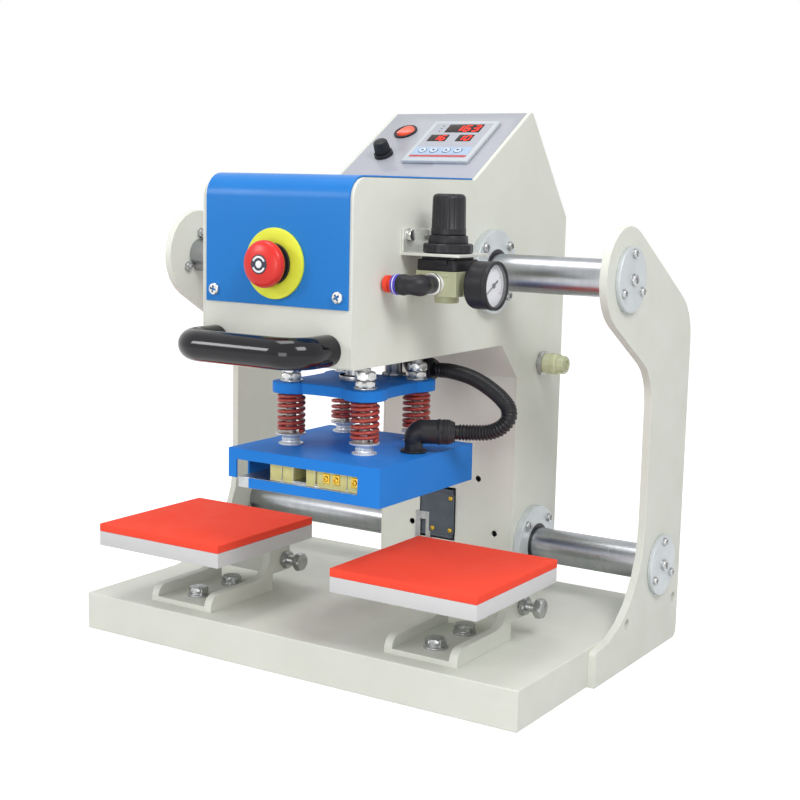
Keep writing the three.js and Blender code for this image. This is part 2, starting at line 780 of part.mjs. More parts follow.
function stopBase() {
  const discFront = coverFaceY - stop.disc;
  const collarFront = discFront - stop.collar;
  const body = join(
    rod(stop.discRadius, [stopX, coverFaceY, stopZ], [stopX, discFront, stopZ]),
    rod(stop.collarRadius, [stopX, coverFaceY, stopZ], [stopX, collarFront, stopZ]),
    rod(stopBlock.radius, [stopX, headFrontY + stopBlock.depth, stopZ], [stopX, discFront, stopZ]),
  );
  const bore = rod(
    stopButton.stemRadius + slideClearance,
    [stopX, collarFront + stopBlock.bore, stopZ],
    [stopX, collarFront - overrun, stopZ],
  );
  return cut(body, bore);
}

const stopButtonShares = [[0, 0], [0.86, 0], [1, 0.22], [1, 0.55], [0.8, 0.86], [0.45, 0.97], [0, 1]];

function stopMushroom() {
  const backY = coverFaceY - stop.disc - stopButton.gap;
  const collarFront = coverFaceY - stop.disc - stop.collar;
  const hollowY = collarFront - stopButton.travel - seat;
  const stemEnd = collarFront + stopBlock.bore - stopButton.travel - slideClearance;
  const cap = turned(
    stopButtonShares.map(([r, h]) => [r * stopButton.radius, h * stopButton.thickness]),
    [stopX, backY, stopZ],
    new THREE.Vector3(0, -1, 0),
  );
  const hollow = rod(
    stop.collarRadius + slideClearance,
    [stopX, backY + overrun, stopZ],
    [stopX, hollowY, stopZ],
  );
  const stem = rod(stopButton.stemRadius, [stopX, stemEnd, stopZ], [stopX, hollowY - seat, stopZ]);
  return join(cut(cap, hollow), stem);
}

addPart(press, "estop_base", stopBase(), yellowPlastic);
addPart(press, "estop_button", stopMushroom(), redPlastic);

// Sloped panel: x across, y up the slope from its foot, z out of its face

const panel = new THREE.Group();
panel.position.set(0, panelFootY, headTopZ);
panel.rotation.x = panelSlope;
press.add(panel);

const controllerX = carriageRestX + controller.left;
const controllerMiddle = [controllerX + controller.width / 2, controller.foot + controller.height / 2];
const rockerX = carriageRestX + rocker.offsetX;
const fuseX = carriageRestX + fuse.offsetX;

function squareAround([x, y], width, z0, z1) {
  return block([x - width / 2, x + width / 2], [y - width / 2, y + width / 2], [z0, z1]);
}

function controlPanel() {
  const sheet = block([innerLeftX + seat, innerRightX - seat], [seat, panelLength - seat], [-shellSheet, 0]);
  const cutout = squareAround(
    controllerMiddle,
    controller.body + 2 * slideClearance,
    -shellSheet - overrun,
    overrun,
  );
  const bezel = rod(
    rocker.bezelRadius,
    [rockerX, rocker.foot, -rocker.depth - shellSheet],
    [rockerX, rocker.foot, rocker.bezel],
  );
  const rockerWell = rod(
    rocker.radius + slideClearance + seat,
    [rockerX, rocker.foot, -rocker.depth],
    [rockerX, rocker.foot, rocker.bezel + overrun],
  );
  const fuseBase = rod(fuse.baseRadius, [fuseX, fuse.foot, -seat], [fuseX, fuse.foot, fuse.base]);
  return join(cut(sheet, cutout), cut(bezel, rockerWell), fuseBase).subtract(rockerWell);
}

function keyPlace(share) {
  return [controllerX + share * controller.width, controller.foot + key.foot];
}

function temperatureController() {
  const bezel = block(
    [controllerX, controllerX + controller.width],
    [controller.foot, controller.foot + controller.height],
    [seat, controller.bezel],
  );
  const body = squareAround(controllerMiddle, controller.body, -controller.depth, 2 * seat);
  const pockets = keyShares.map((share) => {
    const [x, y] = keyPlace(share);
    return rod(
      key.radius + seat,
      [x, y, controller.bezel - key.pocket],
      [x, y, controller.bezel + overrun],
      smallSides,
    );
  });
  return cut(join(bezel, body), ...pockets);
}

function controllerKey(share) {
  const [x, y] = keyPlace(share);
  const foot = controller.bezel - key.pocket + key.travel + seat;
  return rod(key.radius, [x, y, foot], [x, y, controller.bezel + key.proud], smallSides);
}

// The button is turned about its own middle, where its group lies tilted to one side at rest.
function rockerButton() {
  const waist = rocker.radius * rockerWaistShare;
  const top = rocker.bezel + rocker.proud;
  const profile = [
    [0, 0],
    [waist, 0],
    [rocker.radius, rocker.bezel],
    [waist, top],
    [0, top],
  ];
  return turned(profile, [0, 0, 0], axisZ);
}

function fuseCap() {
  const foot = fuse.base + seat;
  const profile = [
    [0, 0],
    [fuse.capRadius, 0],
    [fuse.topRadius, fuse.cap * fuseShoulderShare],
    [fuse.topRadius * fuseFaceShare, fuse.cap],
    [0, fuse.cap],
  ];
  return turned(profile, [fuseX, fuse.foot, foot], axisZ, smallSides);
}

addPart(panel, "control_panel", controlPanel(), panelFilm);
addPart(panel, "temperature_controller", temperatureController(), panelFilm);
keyShares.forEach((share, index) => {
  addPart(panel, `key_${index + 1}`, controllerKey(share), keyBlue);
});

const rockerPivot = new THREE.Group();
rockerPivot.position.set(rockerX, rocker.foot, 0);
rockerPivot.rotation.x = -rockerRestTurn;
panel.add(rockerPivot);
addPart(rockerPivot, "rocker_button", rockerButton(), redPlastic);
addPart(panel, "fuse_cap", fuseCap(), blackPlastic);

// Limit switch on the column, silencer on the right cheek

function limitSwitch() {
  const box = block(
    [switchOpening.left + switchBox.margin, switchOpening.right - switchBox.margin],
    [columnFrontY - switchBox.proud, columnFrontY + switchBox.depth],
    [switchOpening.bottom + switchBox.margin, switchOpening.top - switchBox.margin],
  );
  const slotX = slotPlate.left + slotPlate.width / 2;
  const backY = columnFrontY - seat;
  const frontY = backY - slotPlate.thickness;
  const bar = block(
    [slotPlate.left, slotPlate.left + slotPlate.width],
    [frontY, backY],
    [slotPlate.bottom, slotPlate.top],
  );
  const slot = block(
    [slotX - slotPlate.slot / 2, slotX + slotPlate.slot / 2],
    [frontY - overrun, columnFrontY],
    [slotPlate.bottom + slotPlate.slotEnd, slotPlate.top - slotPlate.slotEnd],
  );
  return join(cut(bar, slot), cut(box, slot));
}

function silencerBowl() {
  const nutX = carriageRightX + silencer.nut;
  const nut = hexagon(
    silencer.nutFlats,
    [carriageRightX, silencer.y, silencer.z],
    [nutX, silencer.y, silencer.z],
  );
  const bowl = turned(
    [
      [0, -seat],
      [silencer.radius, -seat],
      [silencer.radius, silencer.length - silencer.dome],
      [silencer.radius - silencer.dome, silencer.length],
      [0, silencer.length],
    ],
    [nutX, silencer.y, silencer.z],
    axisX,
    smallSides,
  );
  return join(nut, bowl);
}

addPart(press, "limit_switch", limitSwitch(), blackPlastic);
addPart(press, "silencer", silencerBowl(), clearYellow);

// Air regulator on the right cheek

function regulatorBracket() {
  const y0 = regulator.y - bracketPlate.halfDepth;
  const y1 = regulator.y + bracketPlate.halfDepth;
  const wall = block(
    [carriageRightX, carriageRightX + bracketPlate.thickness],
    [y0, y1],
    [bracketPlateZ, bracketPlateZ + bracketPlate.height],
  );
  const shelf = block(
    [carriageRightX, regulatorX + bracketPlate.reach],
    [y0, y1],
    [bracketPlateZ, bracketPlateTopZ],
  );
  const hole = rod(
    bonnet.neckRadius + slideClearance,
    [regulatorX, regulator.y, bracketPlateZ - overrun],
    [regulatorX, regulator.y, bracketPlateTopZ + overrun],
  );
  const bolts = [-1, 1].map((side) => screwHead(
    bracketBolt.radius,
    bracketBolt.head,
    [
      carriageRightX + bracketPlate.thickness,
      regulator.y + (side * bracketBolt.pitch) / 2,
      bracketPlateZ + bracketBolt.height,
    ],
    axisX,
  ));
  return join(cut(join(wall, shelf), hole), ...bolts);
}

function regulatorBody() {
  const body = block(
    [regulatorX - regulator.bodyHalf, regulatorX + regulator.bodyHalf],
    [regulator.y - regulator.bodyHalf, regulator.y + regulator.bodyHalf],
    [regulator.bodyBottomZ, regulator.bodyTopZ],
  );
  const boss = rod(
    regulatorBoss.radius,
    [regulatorX, regulator.y, regulator.bodyBottomZ - regulatorBoss.length],
    [regulatorX, regulator.y, regulator.bodyTopZ - seat],
    smallSides,
  );
  return join(body, boss);
}

function regulatorBonnet() {
  const neckTop = bracketPlateTopZ + seat;
  const bonnetTop = regulator.bodyTopZ + bonnet.height;
  const bevelZ = bonnetTop - bonnet.bevel;
  const square = (half, z0, z1) => squareAround([regulatorX, regulator.y], 2 * half, z0, z1);
  const stem = turned(
    [
      [0, bevelZ],
      [bonnet.neckRadius, bevelZ],
      [bonnet.neckRadius, neckTop],
      [bonnet.nutRadius, neckTop],
      [bonnet.nutRadius, ringNutTopZ],
      [bonnetCollar.radius, ringNutTopZ],
      [bonnetCollar.radius, ringNutTopZ + bonnetCollar.height],
      [0, ringNutTopZ + bonnetCollar.height],
    ],
    [regulatorX, regulator.y, 0],
    axisZ,
  );
  return join(
    square(bonnet.half, regulator.bodyTopZ, bevelZ),
    square(bonnet.topHalf, bevelZ - seat, bonnetTop),
    stem,
  );
}

function regulatorKnob() {
  return turned(
    [
      [0, 0],
      [knob.radius, 0],
      [knob.topRadius, knob.height - knob.edge],
      [knob.topRadius - knob.edge, knob.height],
      [0, knob.height],
    ],
    [regulatorX, regulator.y, knobZ],
    axisZ,
  );
}

function pressureGauge() {
  const bodyX = regulatorX + regulator.bodyHalf;
  const caseBody = turned(
    [
      [0, 0],
      [gauge.radius, 0],
      [gauge.radius, gauge.depth],
      [gauge.radius - gauge.rim, gauge.depth],
      [gauge.radius - gauge.rim, gauge.depth - gauge.recess],
      [0, gauge.depth - gauge.recess],
    ],
    [gaugeBackX, regulator.y, gauge.z],
    axisX,
  );
  const stem = hexagon(
    2 * gauge.stemRadius,
    [bodyX, regulator.y, gauge.z],
    [gaugeBackX + seat, regulator.y, gauge.z],
  );
  return join(caseBody, stem);
}

// The needle stands in the dial's own place, with its hub on the origin.
function gaugeNeedle() {
  const blade = block(
    [0, needle.thickness],
    [-needle.halfWidth, needle.halfWidth],
    [-needle.tail, needle.length],
  );
  const hub = rod(needle.hubRadius, [0, 0, 0], [2 * needle.thickness, 0, 0], tinySides);
  return join(blade, hub);
}

function elbowFitting() {
  const portY = regulator.y - regulator.bodyHalf;
  const cornerY = portY - elbow.reach;
  const legEnd = regulatorX - elbow.leg;
  const at = (x, y) => [x, y, gauge.z];
  return join(
    rod(elbow.collarRadius, at(regulatorX, portY), at(regulatorX, portY - elbow.collar)),
    rod(elbow.radius, at(regulatorX, portY - seat), at(regulatorX, cornerY), smallSides),
    rod(elbow.radius, at(regulatorX, cornerY), at(legEnd, cornerY), smallSides),
    solidOf(new THREE.SphereGeometry(elbow.radius, smallSides, tinySides)
      .translate(...at(regulatorX, cornerY))),
    rod(elbow.ringRadius, at(legEnd, cornerY), at(legEnd - elbow.ring, cornerY), smallSides),
    rod(plug.radius, at(legEnd, cornerY), at(legEnd - elbow.ring - plug.length, cornerY), smallSides),
  );
}

const dial = new THREE.Group();
dial.position.set(gaugeFaceX + seat, regulator.y, gauge.z);
dial.rotation.x = needleRestTurn;
press.add(dial);

addPart(press, "regulator_bracket", regulatorBracket(), zincSteel);
addPart(press, "regulator_body", regulatorBody(), khakiPaint);
addPart(press, "regulator_bonnet", regulatorBonnet(), blackPlastic);
addPart(press, "regulator_knob", regulatorKnob(), blackPlastic);
addPart(press, "pressure_gauge", pressureGauge(), blackPlastic);
addPart(dial, "gauge_needle", gaugeNeedle(), redPlastic);
addPart(press, "elbow_fitting", elbowFitting(), blackPlastic);

// Air cylinder, piston rod and spider plate

const guideRodX = carriageRestX + guideRod.offsetX;

function airCylinder() {
  const bottom = headBottomZ + shellSheet;
  const top = bottom + cylinder.height;
  const upright = (radius, z0, z1) => rod(radius, [pressX, pressY, z0], [pressX, pressY, z1]);
  return cut(
    upright(cylinder.radius, bottom, top),
    upright(cylinder.boreRadius, bottom + cylinder.wall, top - cylinder.wall),
    upright(pistonRodRadius + slideClearance, bottom - overrun, bottom + cylinder.wall + overrun),
  );
}

function pistonRod() {
  const pistonTop = headBottomZ + shellSheet + cylinder.height - cylinder.wall - piston.restGap;
  const pistonRadius = cylinder.boreRadius - slideClearance;
  return turned(
    [
      [0, spiderTopZ],
      [rodFlange.radius, spiderTopZ],
      [rodFlange.radius, spiderTopZ + rodFlange.thickness],
      [pistonRodRadius, spiderTopZ + rodFlange.thickness],
      [pistonRodRadius, pistonTop - piston.height],
      [pistonRadius, pistonTop - piston.height],
      [pistonRadius, pistonTop],
      [0, pistonTop],
    ],
    [pressX, pressY, 0],
    axisZ,
  );
}

const postPlaces = [
  { name: "front_left", x: pressX - postHalfX, y: pressY - postHalfY },
  { name: "front_right", x: pressX + postHalfX, y: pressY - postHalfY },
  { name: "rear_left", x: pressX - postHalfX, y: pressY + postHalfY },
  { name: "rear_right", x: pressX + postHalfX, y: pressY + postHalfY },
];

// Four lobes joined by hollow flanks, and a fifth, smaller one behind them under the guide rod's flange
function spiderPlate() {
  const flankSteps = 10;
  const outX = postHalfX + spiderLobe;
  const outY = postHalfY + spiderLobe;
  const pullX = 2 * spiderWaistHalfX - outX;
  const pullY = 2 * spiderWaistHalfY - outY;
  const flanks = [
    [[-postHalfX, -outY], [0, -pullY], [postHalfX, -outY]],
    [[outX, -postHalfY], [pullX, 0], [outX, postHalfY]],
    [[postHalfX, outY], [0, pullY], [-postHalfX, outY]],
    [[-outX, postHalfY], [-pullX, 0], [-outX, -postHalfY]],
  ];
  const outline = flanks.flatMap((flank) => {
    const [start, middle, end] = flank.map(([x, y]) => new THREE.Vector2(pressX + x, pressY + y));
    return new THREE.QuadraticBezierCurve(start, middle, end).getPoints(flankSteps)
      .map((point) => [point.x, point.y]);
  });
  const lobes = postPlaces.map(({ x, y }) => rod(spiderLobe, [x, y, spiderBottomZ], [x, y, spiderTopZ]));
  const guide = (radius, z0, z1) => rod(
    radius,
    [guideRodX, guideRod.y, z0],
    [guideRodX, guideRod.y, z1],
    smallSides,
  );
  const holes = postPlaces.map(({ x, y }) => rod(
    studRadius + slideClearance,
    [x, y, spiderBottomZ - overrun],
    [x, y, spiderTopZ + overrun],
    smallSides,
  ));
  const plate = join(
    prismZ(outline, spiderBottomZ, spiderTopZ),
    ...lobes,
    guide(guideRod.flangeRadius + guideRod.rim, spiderBottomZ, spiderTopZ),
  );
  return join(
    cut(plate, ...holes),
    guide(guideRod.flangeRadius, spiderTopZ - seat, spiderTopZ + guideRod.flange),
    guide(guideRod.radius, spiderTopZ - seat, headBottomZ + pressStroke + guideRod.stay),
  );
}

addPart(press, "air_cylinder", airCylinder(), aluminium);
addPart(press, "piston_rod", pistonRod(), steel);
addPart(press, "press_spider", spiderPlate(), bluePaint);

// Tubes lofted through rings of points; a looped one closes on itself, for a bore

function ringAround(centre, across, upward, radius, sides) {
  return Array.from({ length: sides }, (_, index) => {
    const turn = (index * 2 * Math.PI) / sides;
    return centre.clone()
      .addScaledVector(across, radius * Math.cos(turn))
      .addScaledVector(upward, radius * Math.sin(turn));
  });
}

function loftedTube(rings, looped) {
  const sides = rings[0].length;
  const indices = [];
  const last = looped ? rings.length : rings.length - 1;
  for (let row = 0; row < last; row += 1) {
    const next = (row + 1) % rings.length;
    for (let side = 0; side < sides; side += 1) {
      const beside = (side + 1) % sides;
      const [a, b] = [row * sides + side, row * sides + beside];
      const [c, d] = [next * sides + side, next * sides + beside];
      indices.push(a, b, d, a, d, c);
    }
  }
  const geometry = new THREE.BufferGeometry().setFromPoints(rings.flat());
  geometry.setIndex(indices);
  return solidOf(geometry);
}

// Springs on their posts, one unbroken wire each

function springPoints({ x, y }) {
  const bottom = spacerTopZ + seat + springWire / 2;
  const rise = spiderBottomZ - seat - springWire / 2 - bottom;
  const steps = springTurns * springSteps;
  return Array.from({ length: steps + 1 }, (_, index) => {
    const turn = (index * 2 * Math.PI) / springSteps;
    const across = new THREE.Vector3(Math.cos(turn), Math.sin(turn), 0);
    const along = new THREE.Vector3(-Math.sin(turn), Math.cos(turn), 0)
      .multiplyScalar(2 * Math.PI * springRadius * springTurns)
      .setZ(rise)
      .normalize();
    const centre = new THREE.Vector3(x, y, bottom + (rise * index) / steps);
    return { centre: centre.addScaledVector(across, springRadius), across, along };
  });
}

function spring(place) {
  const points = springPoints(place);
  const rings = points.map(({ centre, across, along }) => (
    ringAround(centre, across, across.clone().cross(along), springWire / 2, springSides)
  ));
  const pole = ({ centre }) => Array.from({ length: springSides }, () => centre.clone());
  return loftedTube([pole(points[0]), ...rings, pole(points.at(-1))], false);
}

function leastSpringGap(place) {
  const points = springPoints(place);
  let least = Infinity;
  points.forEach(({ centre }, index) => {
    points.slice(index + springSteps / 2).forEach((other) => {
      least = Math.min(least, centre.distanceTo(other.centre));
    });
  });
  return least - springWire;
}

// Posts: a stud with its spacer below the spring and a pair of nuts above the spider plate

function post({ x, y }) {
  const lowNut = spiderTopZ + seat;
  const highNut = lowNut + nutHeight + nutGap;
  const top = highNut + nutHeight + studTip;
  const spacer = spacerShares.map(([r, h]) => [r * spacerRadius, heaterTopZ + h * spacerHeight]);
  const stud = turned(
    [
      [0, platenTopZ],
      [studRadius, platenTopZ],
      [studRadius, heaterTopZ],
      ...spacer,
      [studRadius, spacerTopZ],
      [studRadius, top],
      [0, top],
    ],
    [x, y, 0],
    axisZ,
    smallSides,
  );
  const nutTurn = Math.PI / 12;
  return join(
    stud,
    hexagon(nutFlats, [x, y, lowNut], [x, y, lowNut + nutHeight]),
    hexagon(nutFlats, [x, y, highNut], [x, y, highNut + nutHeight], nutTurn),
  );
}

postPlaces.forEach((place) => {
  addPart(press, `${place.name}_post`, post(place), zincSteel);
  addPart(press, `${place.name}_spring`, spring(place), springPaint);
});

// Heater cover and heating plate

const heaterLeftX = heaterX - heaterHalfX;
const heaterRightX = heaterX + heaterHalfX;
const heaterFrontY = stationY - heaterHalfY;
const heaterRearY = stationY + heaterHalfY;

function heaterCover() {
  const shell = cut(
    block([heaterLeftX, heaterRightX], [heaterFrontY, heaterRearY], [heaterBottomZ, heaterTopZ]),
    block(
      [heaterLeftX + heaterSheet, heaterRightX - heaterSheet],
      [heaterFrontY + heaterSheet, heaterRearY - heaterSheet],
      [heaterBottomZ - overrun, heaterTopZ - heaterSheet],
    ),
  );
  const windowLeft = heaterLeftX + heaterWindow.left;
  const frontWall = [heaterFrontY - overrun, heaterFrontY + heaterSheet];
  const window = block(
    [windowLeft, heaterRightX - heaterWindow.right],
    frontWall,
    [heaterBottomZ + heaterWindow.bottom, heaterTopZ - heaterWindow.top],
  );
  const notch = block(
    [windowLeft, windowLeft + heaterWindow.notch],
    frontWall,
    [heaterBottomZ - overrun, heaterTopZ - heaterWindow.top],
  );
  const stripEnd = block(
    [heaterLeftX - overrun, windowLeft + seat],
    frontWall,
    [heaterBottomZ - overrun, heaterBottomZ + heaterWindow.stripEnd],
  );
  const openWall = block(
    [heaterLeftX - overrun, heaterLeftX + heaterSheet],
    [heaterFrontY + heaterSheet, heaterFrontY + heaterWindow.openWall],
    [heaterBottomZ - overrun, heaterTopZ - heaterSheet],
  );
  const throughTop = (x, y, radius) => rod(
    radius,
    [x, y, heaterTopZ - heaterSheet - overrun],
    [x, y, heaterTopZ + overrun],
    smallSides,
  );
  return cut(
    shell,
    window,
    notch,
    stripEnd,
    openWall,
    ...postPlaces.map(({ x, y }) => throughTop(x, y, studRadius + slideClearance)),
  );
}

// The heating plate carries the terminal blocks.
function heatingPlate() {
  const plateLeft = heaterX - stationSize / 2;
  const plateFront = stationY - stationSize / 2;
  const stripLeft = plateLeft + terminalStrip.fromLeft;
  const stripY = [plateFront + terminalStrip.inset, plateFront + terminalStrip.inset + terminalStrip.depth];
  const strip = block(
    [stripLeft, stripLeft + terminalStrip.width],
    stripY,
    [platenTopZ - seat, platenTopZ + terminalStrip.base],
  );
  const terminals = terminalShares.map(([from, to]) => block(
    [stripLeft + from * terminalStrip.width, stripLeft + to * terminalStrip.width],
    stripY,
    [platenTopZ, platenTopZ + terminalStrip.height],
  ));
  return join(stationSlab(heaterX, platenBottomZ, platenTopZ), strip, ...terminals);
}

addPart(press, "heater_cover", heaterCover(), bluePaint);
addPart(press, "heating_plate", heatingPlate(), aluminium);

// Conduit hose and its two elbows

const lowerLegWay = new THREE.Vector3(Math.cos(lowerLegTurn), Math.sin(lowerLegTurn), 0);

function conduitElbow(fitting, footZ, cornerZ, way) {
  const corner = new THREE.Vector3(fitting.x, fitting.y, cornerZ);
  const rise = Math.sign(cornerZ - footZ);
  const along = (distance) => corner.clone().addScaledVector(way, distance).toArray();
  const foot = [fitting.x, fitting.y, footZ];
  return join(
    rod(fitting.flangeRadius, foot, [fitting.x, fitting.y, footZ + rise * fitting.flange]),
    rod(fitting.radius, foot, corner.toArray(), smallSides),
    solidOf(new THREE.SphereGeometry(fitting.legRadius, smallSides, tinySides).translate(...corner)),
    rod(fitting.legRadius, corner.toArray(), along(fitting.leg), smallSides),
    rod(fittingCollar.radius, along(fitting.leg - fittingCollar.length), along(fitting.leg), smallSides),
  );
}

function hoseCentreLine() {
  const straight = 2 * hoseRadius;
  const low = new THREE.Vector3(lowerFitting.x, lowerFitting.y, lowerFitting.riseZ);
  const high = new THREE.Vector3(upperFitting.x, upperFitting.y, upperFitting.dropZ);
  const lowAt = (distance) => low.clone().addScaledVector(lowerLegWay, lowerFitting.leg + distance);
  const highAt = (distance) => high.clone().addScaledVector(axisX, upperFitting.leg + distance);
  return new THREE.CatmullRomCurve3([
    lowAt(seat),
    lowAt(seat + straight / 2),
    lowAt(seat + straight),
    ...hoseRoute.map((point) => new THREE.Vector3(...point)),
    highAt(seat + straight),
    highAt(seat + straight / 2),
    highAt(seat),
  ], false, "centripetal");
}

function conduitHose() {
  const line = hoseCentreLine();
  const length = line.getLength();
  const straight = 2 * hoseRadius;
  const ribs = Math.round((length - 2 * straight) / hoseRibPitch);
  const pitch = (length - 2 * straight) / ribs;
  const stations = [{ at: 0, radius: hoseRootRadius, bore: true }];
  for (let rib = 0; rib < ribs; rib += 1) {
    const bore = rib % hoseRibsPerBoreRing === 0;
    stations.push({ at: straight + rib * pitch, radius: hoseRootRadius, bore });
    stations.push({ at: straight + (rib + 0.5) * pitch, radius: hoseRadius, bore: false });
  }
  stations.push({ at: length - straight, radius: hoseRootRadius, bore: true });
  stations.push({ at: length, radius: hoseRootRadius, bore: true });
  let across = axisZ.clone();
  const framed = stations.map((station) => {
    const along = line.getTangentAt(station.at / length);
    across = across.clone().addScaledVector(along, -across.dot(along)).normalize();
    return {
      ...station,
      centre: line.getPointAt(station.at / length),
      across,
      upward: across.clone().cross(along),
    };
  });
  const ring = (place, radius) => ringAround(place.centre, place.across, place.upward, radius, hoseSides);
  const outer = framed.map((place) => ring(place, place.radius));
  const bore = framed.filter((place) => place.bore).map((place) => ring(place, hoseBoreRadius));
  return loftedTube([...outer, ...bore.reverse()], true);
}

addPart(
  press,
  "hose_lower_elbow",
  conduitElbow(lowerFitting, heaterTopZ, lowerFitting.riseZ, lowerLegWay),
  blackPlastic,
);
addPart(
  press,
  "hose_upper_elbow",
  conduitElbow(upperFitting, headBottomZ, upperFitting.dropZ, axisX),
  blackPlastic,
);
addPart(press, "conduit_hose", conduitHose(), blackPlastic);

console.log(`least gap between a spring's turns: ${leastSpringGap(postPlaces[0]).toFixed(2)} mm`);

export default press;
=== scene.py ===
"""Looks of a bench heat press with two padded stations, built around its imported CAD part.

Shapes are worked out in the drawing's own millimetres, where the sheets, shafts and posts have plain
numbers, and are turned to metres of the shared frame when a piece is made.
"""

import json
import logging
from dataclasses import dataclass
from enum import Enum
from typing import Iterable, Optional, Sequence

import bmesh
import bpy
import numpy as np
from mathutils import Matrix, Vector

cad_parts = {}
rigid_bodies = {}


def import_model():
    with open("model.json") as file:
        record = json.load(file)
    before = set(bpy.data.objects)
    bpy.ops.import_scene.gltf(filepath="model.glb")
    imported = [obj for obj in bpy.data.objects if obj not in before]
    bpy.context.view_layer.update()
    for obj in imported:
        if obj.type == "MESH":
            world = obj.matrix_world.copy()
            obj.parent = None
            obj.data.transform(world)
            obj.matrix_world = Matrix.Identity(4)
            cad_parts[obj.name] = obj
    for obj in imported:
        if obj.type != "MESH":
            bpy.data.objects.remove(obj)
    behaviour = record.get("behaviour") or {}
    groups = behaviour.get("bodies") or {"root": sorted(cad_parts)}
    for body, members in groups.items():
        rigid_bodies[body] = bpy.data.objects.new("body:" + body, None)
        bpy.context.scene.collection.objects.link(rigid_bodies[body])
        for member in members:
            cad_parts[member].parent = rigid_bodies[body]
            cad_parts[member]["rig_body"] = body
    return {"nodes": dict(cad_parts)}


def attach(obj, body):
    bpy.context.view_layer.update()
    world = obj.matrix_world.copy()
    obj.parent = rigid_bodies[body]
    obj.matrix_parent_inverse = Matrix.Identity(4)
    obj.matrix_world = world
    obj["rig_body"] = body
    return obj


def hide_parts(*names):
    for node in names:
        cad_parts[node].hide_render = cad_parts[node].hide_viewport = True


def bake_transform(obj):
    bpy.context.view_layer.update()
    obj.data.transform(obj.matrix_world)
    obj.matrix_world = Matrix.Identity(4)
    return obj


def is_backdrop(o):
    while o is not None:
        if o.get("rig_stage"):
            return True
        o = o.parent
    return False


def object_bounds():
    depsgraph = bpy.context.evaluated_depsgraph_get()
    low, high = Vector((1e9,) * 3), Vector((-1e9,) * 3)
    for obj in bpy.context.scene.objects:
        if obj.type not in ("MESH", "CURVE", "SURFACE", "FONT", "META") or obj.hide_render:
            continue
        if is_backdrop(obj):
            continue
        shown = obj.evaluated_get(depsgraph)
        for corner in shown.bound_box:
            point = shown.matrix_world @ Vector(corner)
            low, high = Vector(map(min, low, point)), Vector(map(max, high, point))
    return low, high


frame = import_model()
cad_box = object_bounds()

Array = np.ndarray
LOG = logging.getLogger("heat_press")
DRAWING_TO_FRAME = np.array([0.0, -117.75, 0.0])
METRES_PER_MM = 0.001
TURN = 2 * np.pi
# The arm of a cubic that follows a quarter circle, as a share of its radius
CORNER_ARM = 0.5523
# Points of a piece that lie nearer than this many metres are one
WELD = 2e-6
# Edges that bend by more than this many degrees are shaded sharp
SHARP_FROM = 38
# The guide shafts, each with the depth and height of its axis
SHAFTS = (("upper", 174, 373), ("lower", 280, 87))


# Surfaces: points and faces in drawing millimetres


@dataclass
class Surface:
    """A surface in millimetres: its points, row by row, and its faces as rows of point numbers."""

    points: Array
    faces: list

    def moved(self, place: "Place") -> "Surface":
        """Returns the surface carried from a place's own axes into the drawing."""
        return Surface(place.at(self.points), self.faces)


@dataclass(frozen=True)
class Place:
    """A place with its own axes: u across, v upward on its face, w out of it."""

    origin: Sequence[float]
    u: Sequence[float] = (1, 0, 0)
    v: Sequence[float] = (0, 1, 0)

    def axes(self) -> Array:
        """Returns the three unit axes as rows, w being u crossed with v."""
        u, v = np.array(self.u, float), np.array(self.v, float)
        rows = np.stack([u, v, np.cross(u, v)])
        return rows / np.linalg.norm(rows, axis=1, keepdims=True)

    def at(self, points: Array) -> Array:
        """Returns points given along u, v and w as drawing points."""
        return np.asarray(points, float) @ self.axes() + np.array(self.origin, float)

    def shifted(self, u: float = 0, v: float = 0, w: float = 0) -> "Place":
        """Returns the same axes at a point that lies u, v and w away."""
        return Place(tuple(self.at(np.array([u, v, w]))), self.u, self.v)

    def spun(self, degrees: float) -> "Place":
        """Returns the place turned about its own w axis."""
        a = np.radians(degrees)
        u, v, _ = self.axes()
        return Place(self.origin, tuple(u * np.cos(a) + v * np.sin(a)), tuple(v * np.cos(a) - u * np.sin(a)))

    def tilted(self, degrees: float) -> "Place":
        """Returns the place turned about its own u axis."""
        a = np.radians(degrees)
        u, v, w = self.axes()
        return Place(self.origin, tuple(u), tuple(v * np.cos(a) + w * np.sin(a)))


class Facing(Enum):
    """Which way an upright face looks: its u and v."""

    FRONT = ((1, 0, 0), (0, 0, 1))
    REAR = ((-1, 0, 0), (0, 0, 1))
    RIGHT = ((0, 1, 0), (0, 0, 1))
    LEFT = ((0, -1, 0), (0, 0, 1))

    def at(self, x: float, y: float, z: float) -> Place:
        """Returns the place at a point whose face looks this way."""
        return Place((x, y, z), *self.value)


def loft(rings: Array, caps: bool = True) -> Surface:
    """Joins rings of points into a tube: face (i, j) spans rings i and i+1 and the points j and j+1.

    Args:
        rings: the rings' points, shaped (rings, sides, 3).
        caps: whether the first and last rings are closed by a face.

    Returns:
        The tube's surface.
    """
    rows, sides = rings.shape[:2]
    i, j = np.meshgrid(np.arange(rows - 1), np.arange(sides), indexing="ij")
    k = (j + 1) % sides
    quads = np.stack([i * sides + j, i * sides + k, (i + 1) * sides + k, (i + 1) * sides + j], -1)
    faces = quads.reshape(-1, 4).tolist()
    if caps:
        faces += [list(range(sides))[::-1], list(range((rows - 1) * sides, rows * sides))]
    return Surface(rings.reshape(-1, 3), faces)


